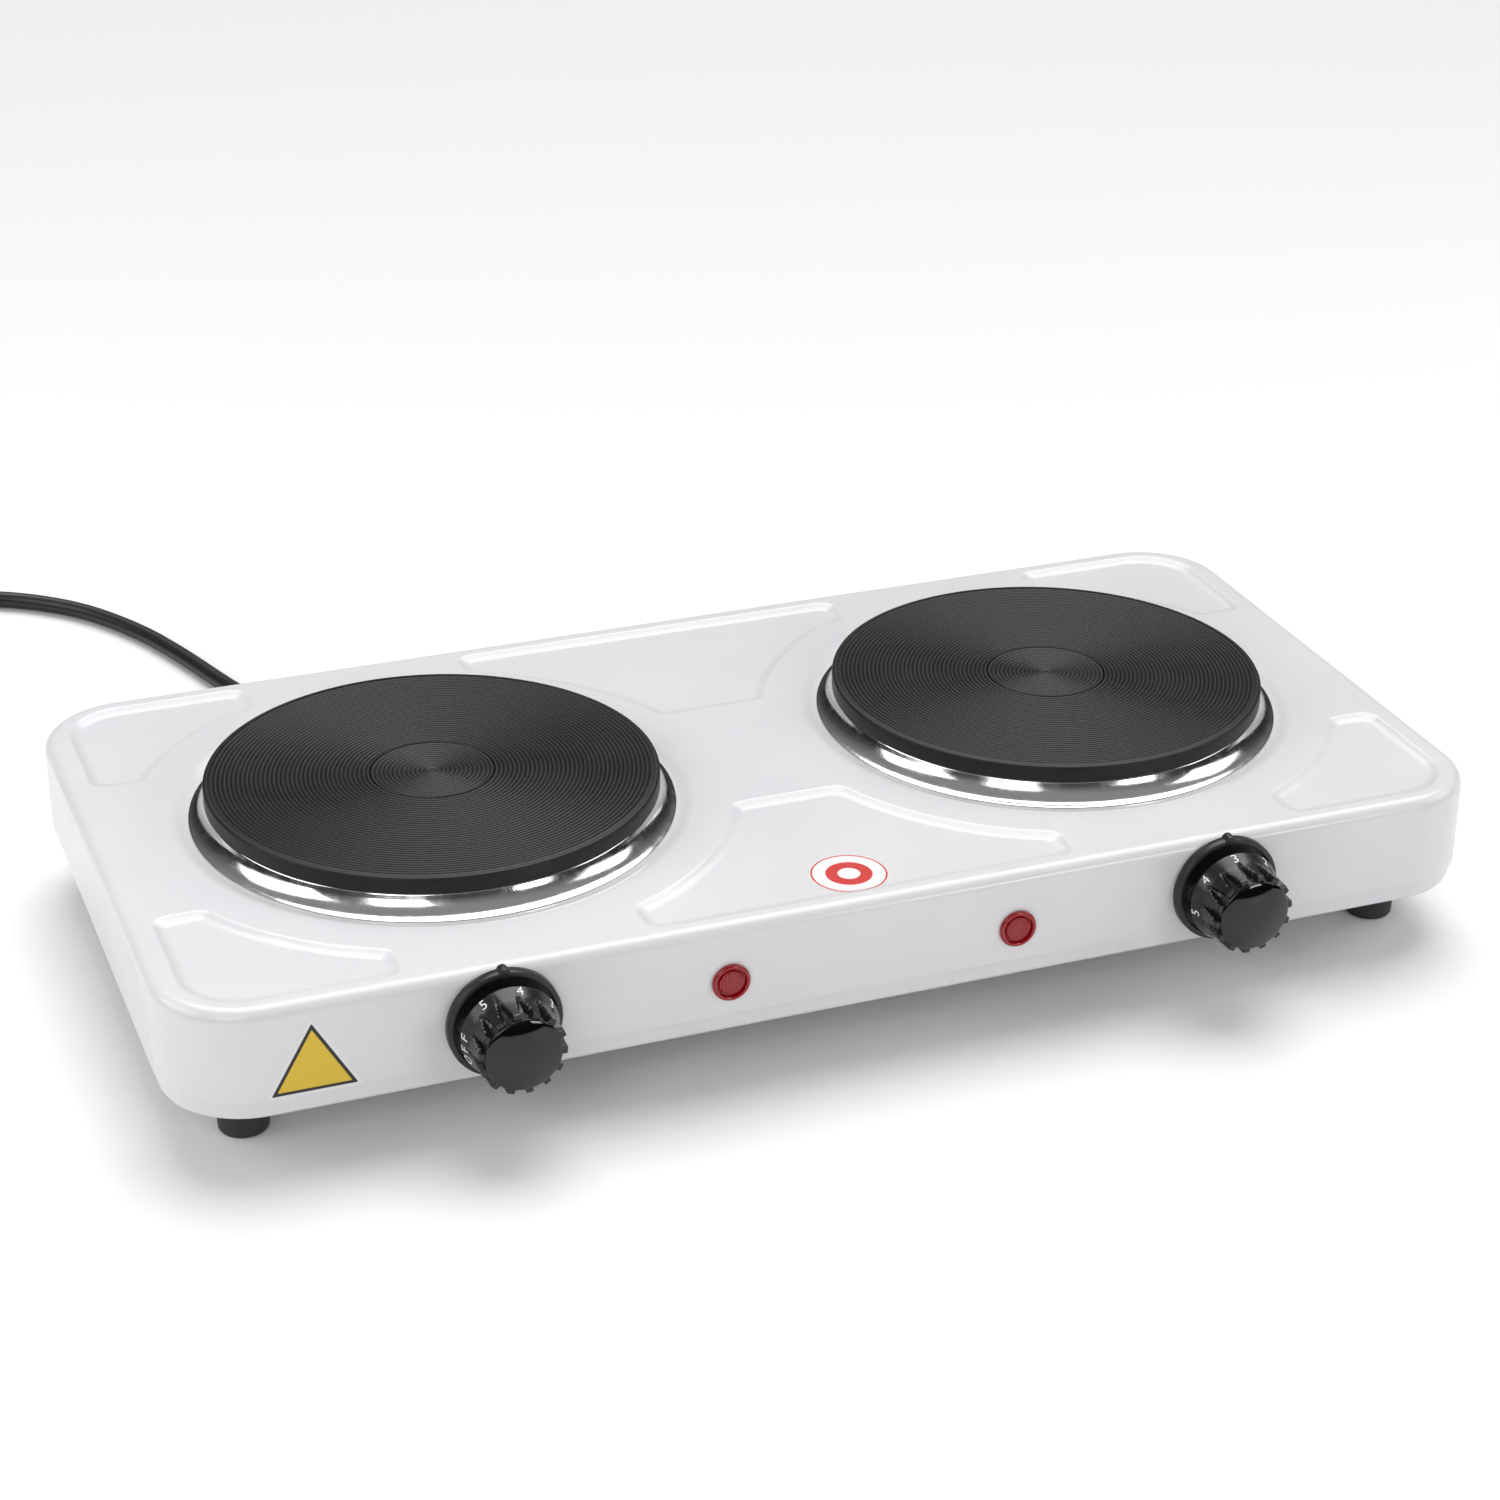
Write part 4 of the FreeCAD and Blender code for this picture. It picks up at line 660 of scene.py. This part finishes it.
# the pieces inside keep their CAD shape and get their finish
finishes = [(zinc, "pan_brackets pan_screws foot_screws foot_nuts plate_studs plate_nuts thermostat_screws"),
            (brass, "terminal_screws mains_block_screws earth_screw plug_pins"), (blockNylon, "mains_block"),
            (brownWire, "live_leads switched_leads"), (blueWire, "neutral_leads"), (greenWire, "earth_lead"),
            (cordVinyl, "cord_inner_end")]
for side in ("left", "right"):
    finishes += [(steatite, f"{side}_heater_core {side}_terminal_block {side}_thermostat"),
                 (zinc, f"{side}_plate_closure {side}_clamp_bridge {side}_thermostat_bracket {side}_spindle"),
                 (zinc, f"{side}_lamp_clip"), (brass, f"{side}_thermostat_blades"), (bulbGlass, f"{side}_neon_bulb")]
for material, names in finishes:
    for name in names.split():
        for slot in nodes[name].material_slots:
            slot.material = material
print("inside finished")


# worktop and soft lights
clear()
bpy.ops.mesh.primitive_plane_add(size=8)
worktop = bpy.context.object
worktop.name = "worktop"
palePaint = newMaterial("palePaintedTop", {"Base Color": tint("#FAFAFA"), "Roughness": 0.6})[0]
worktop.data.materials.append(palePaint)
clear()
bpy.ops.object.light_add(type="SUN", location=(0, 0, 2))
overhead = bpy.context.object
overhead.name = "broadOverhead"
overhead.data.angle = math.radians(52)
overhead.data.energy = 2.2
overhead.rotation_euler = (math.radians(-24), math.radians(14), 0)
lights = {"leftPanel": {"at": (-1.35, 0.15, 0.75), "size": (1.1, 0.7), "power": 6},
          "frontLeft": {"at": (-1.0, -1.3, 1.0), "size": (0.8, 0.8), "power": 6},
          "frontRight": {"at": (0.8, -1.6, 0.55), "size": (0.5, 0.35), "power": 4.5},
          "rightPanel": {"at": (1.4, -0.4, 0.8), "size": (0.9, 0.7), "power": 4}}
for name, plan in lights.items():
    clear()
    bpy.ops.object.light_add(type="AREA", location=plan["at"])
    light = bpy.context.object
    light.name = name
    light.data.shape = "RECTANGLE"
    light.data.size, light.data.size_y = plan["size"]
    light.data.energy = plan["power"]
    light.rotation_euler = (Vector((0, 0, 0.05)) - Vector(plan["at"])).to_track_quat("-Z", "Y").to_euler()
studio = bpy.data.worlds.new("studio")          # dark near the horizon, grey overhead
studio.use_nodes = True
direction = addNode(studio, "ShaderNodeTexCoord")
split = addNode(studio, "ShaderNodeSeparateXYZ", {}, {"Vector": direction.outputs["Generated"]})
addNode(studio, "ShaderNodeValToRGB", {"stops": ((0.0, "#18181A"), (0.3, "#4A4A4B"), (0.75, "#989899"))},
        {"Fac": split.outputs["Z"]}, {"Color": studio.node_tree.nodes["Background"].inputs["Color"]})
bpy.context.scene.world = studio
bpy.context.scene.view_settings.view_transform = "Standard"
print("lights set")
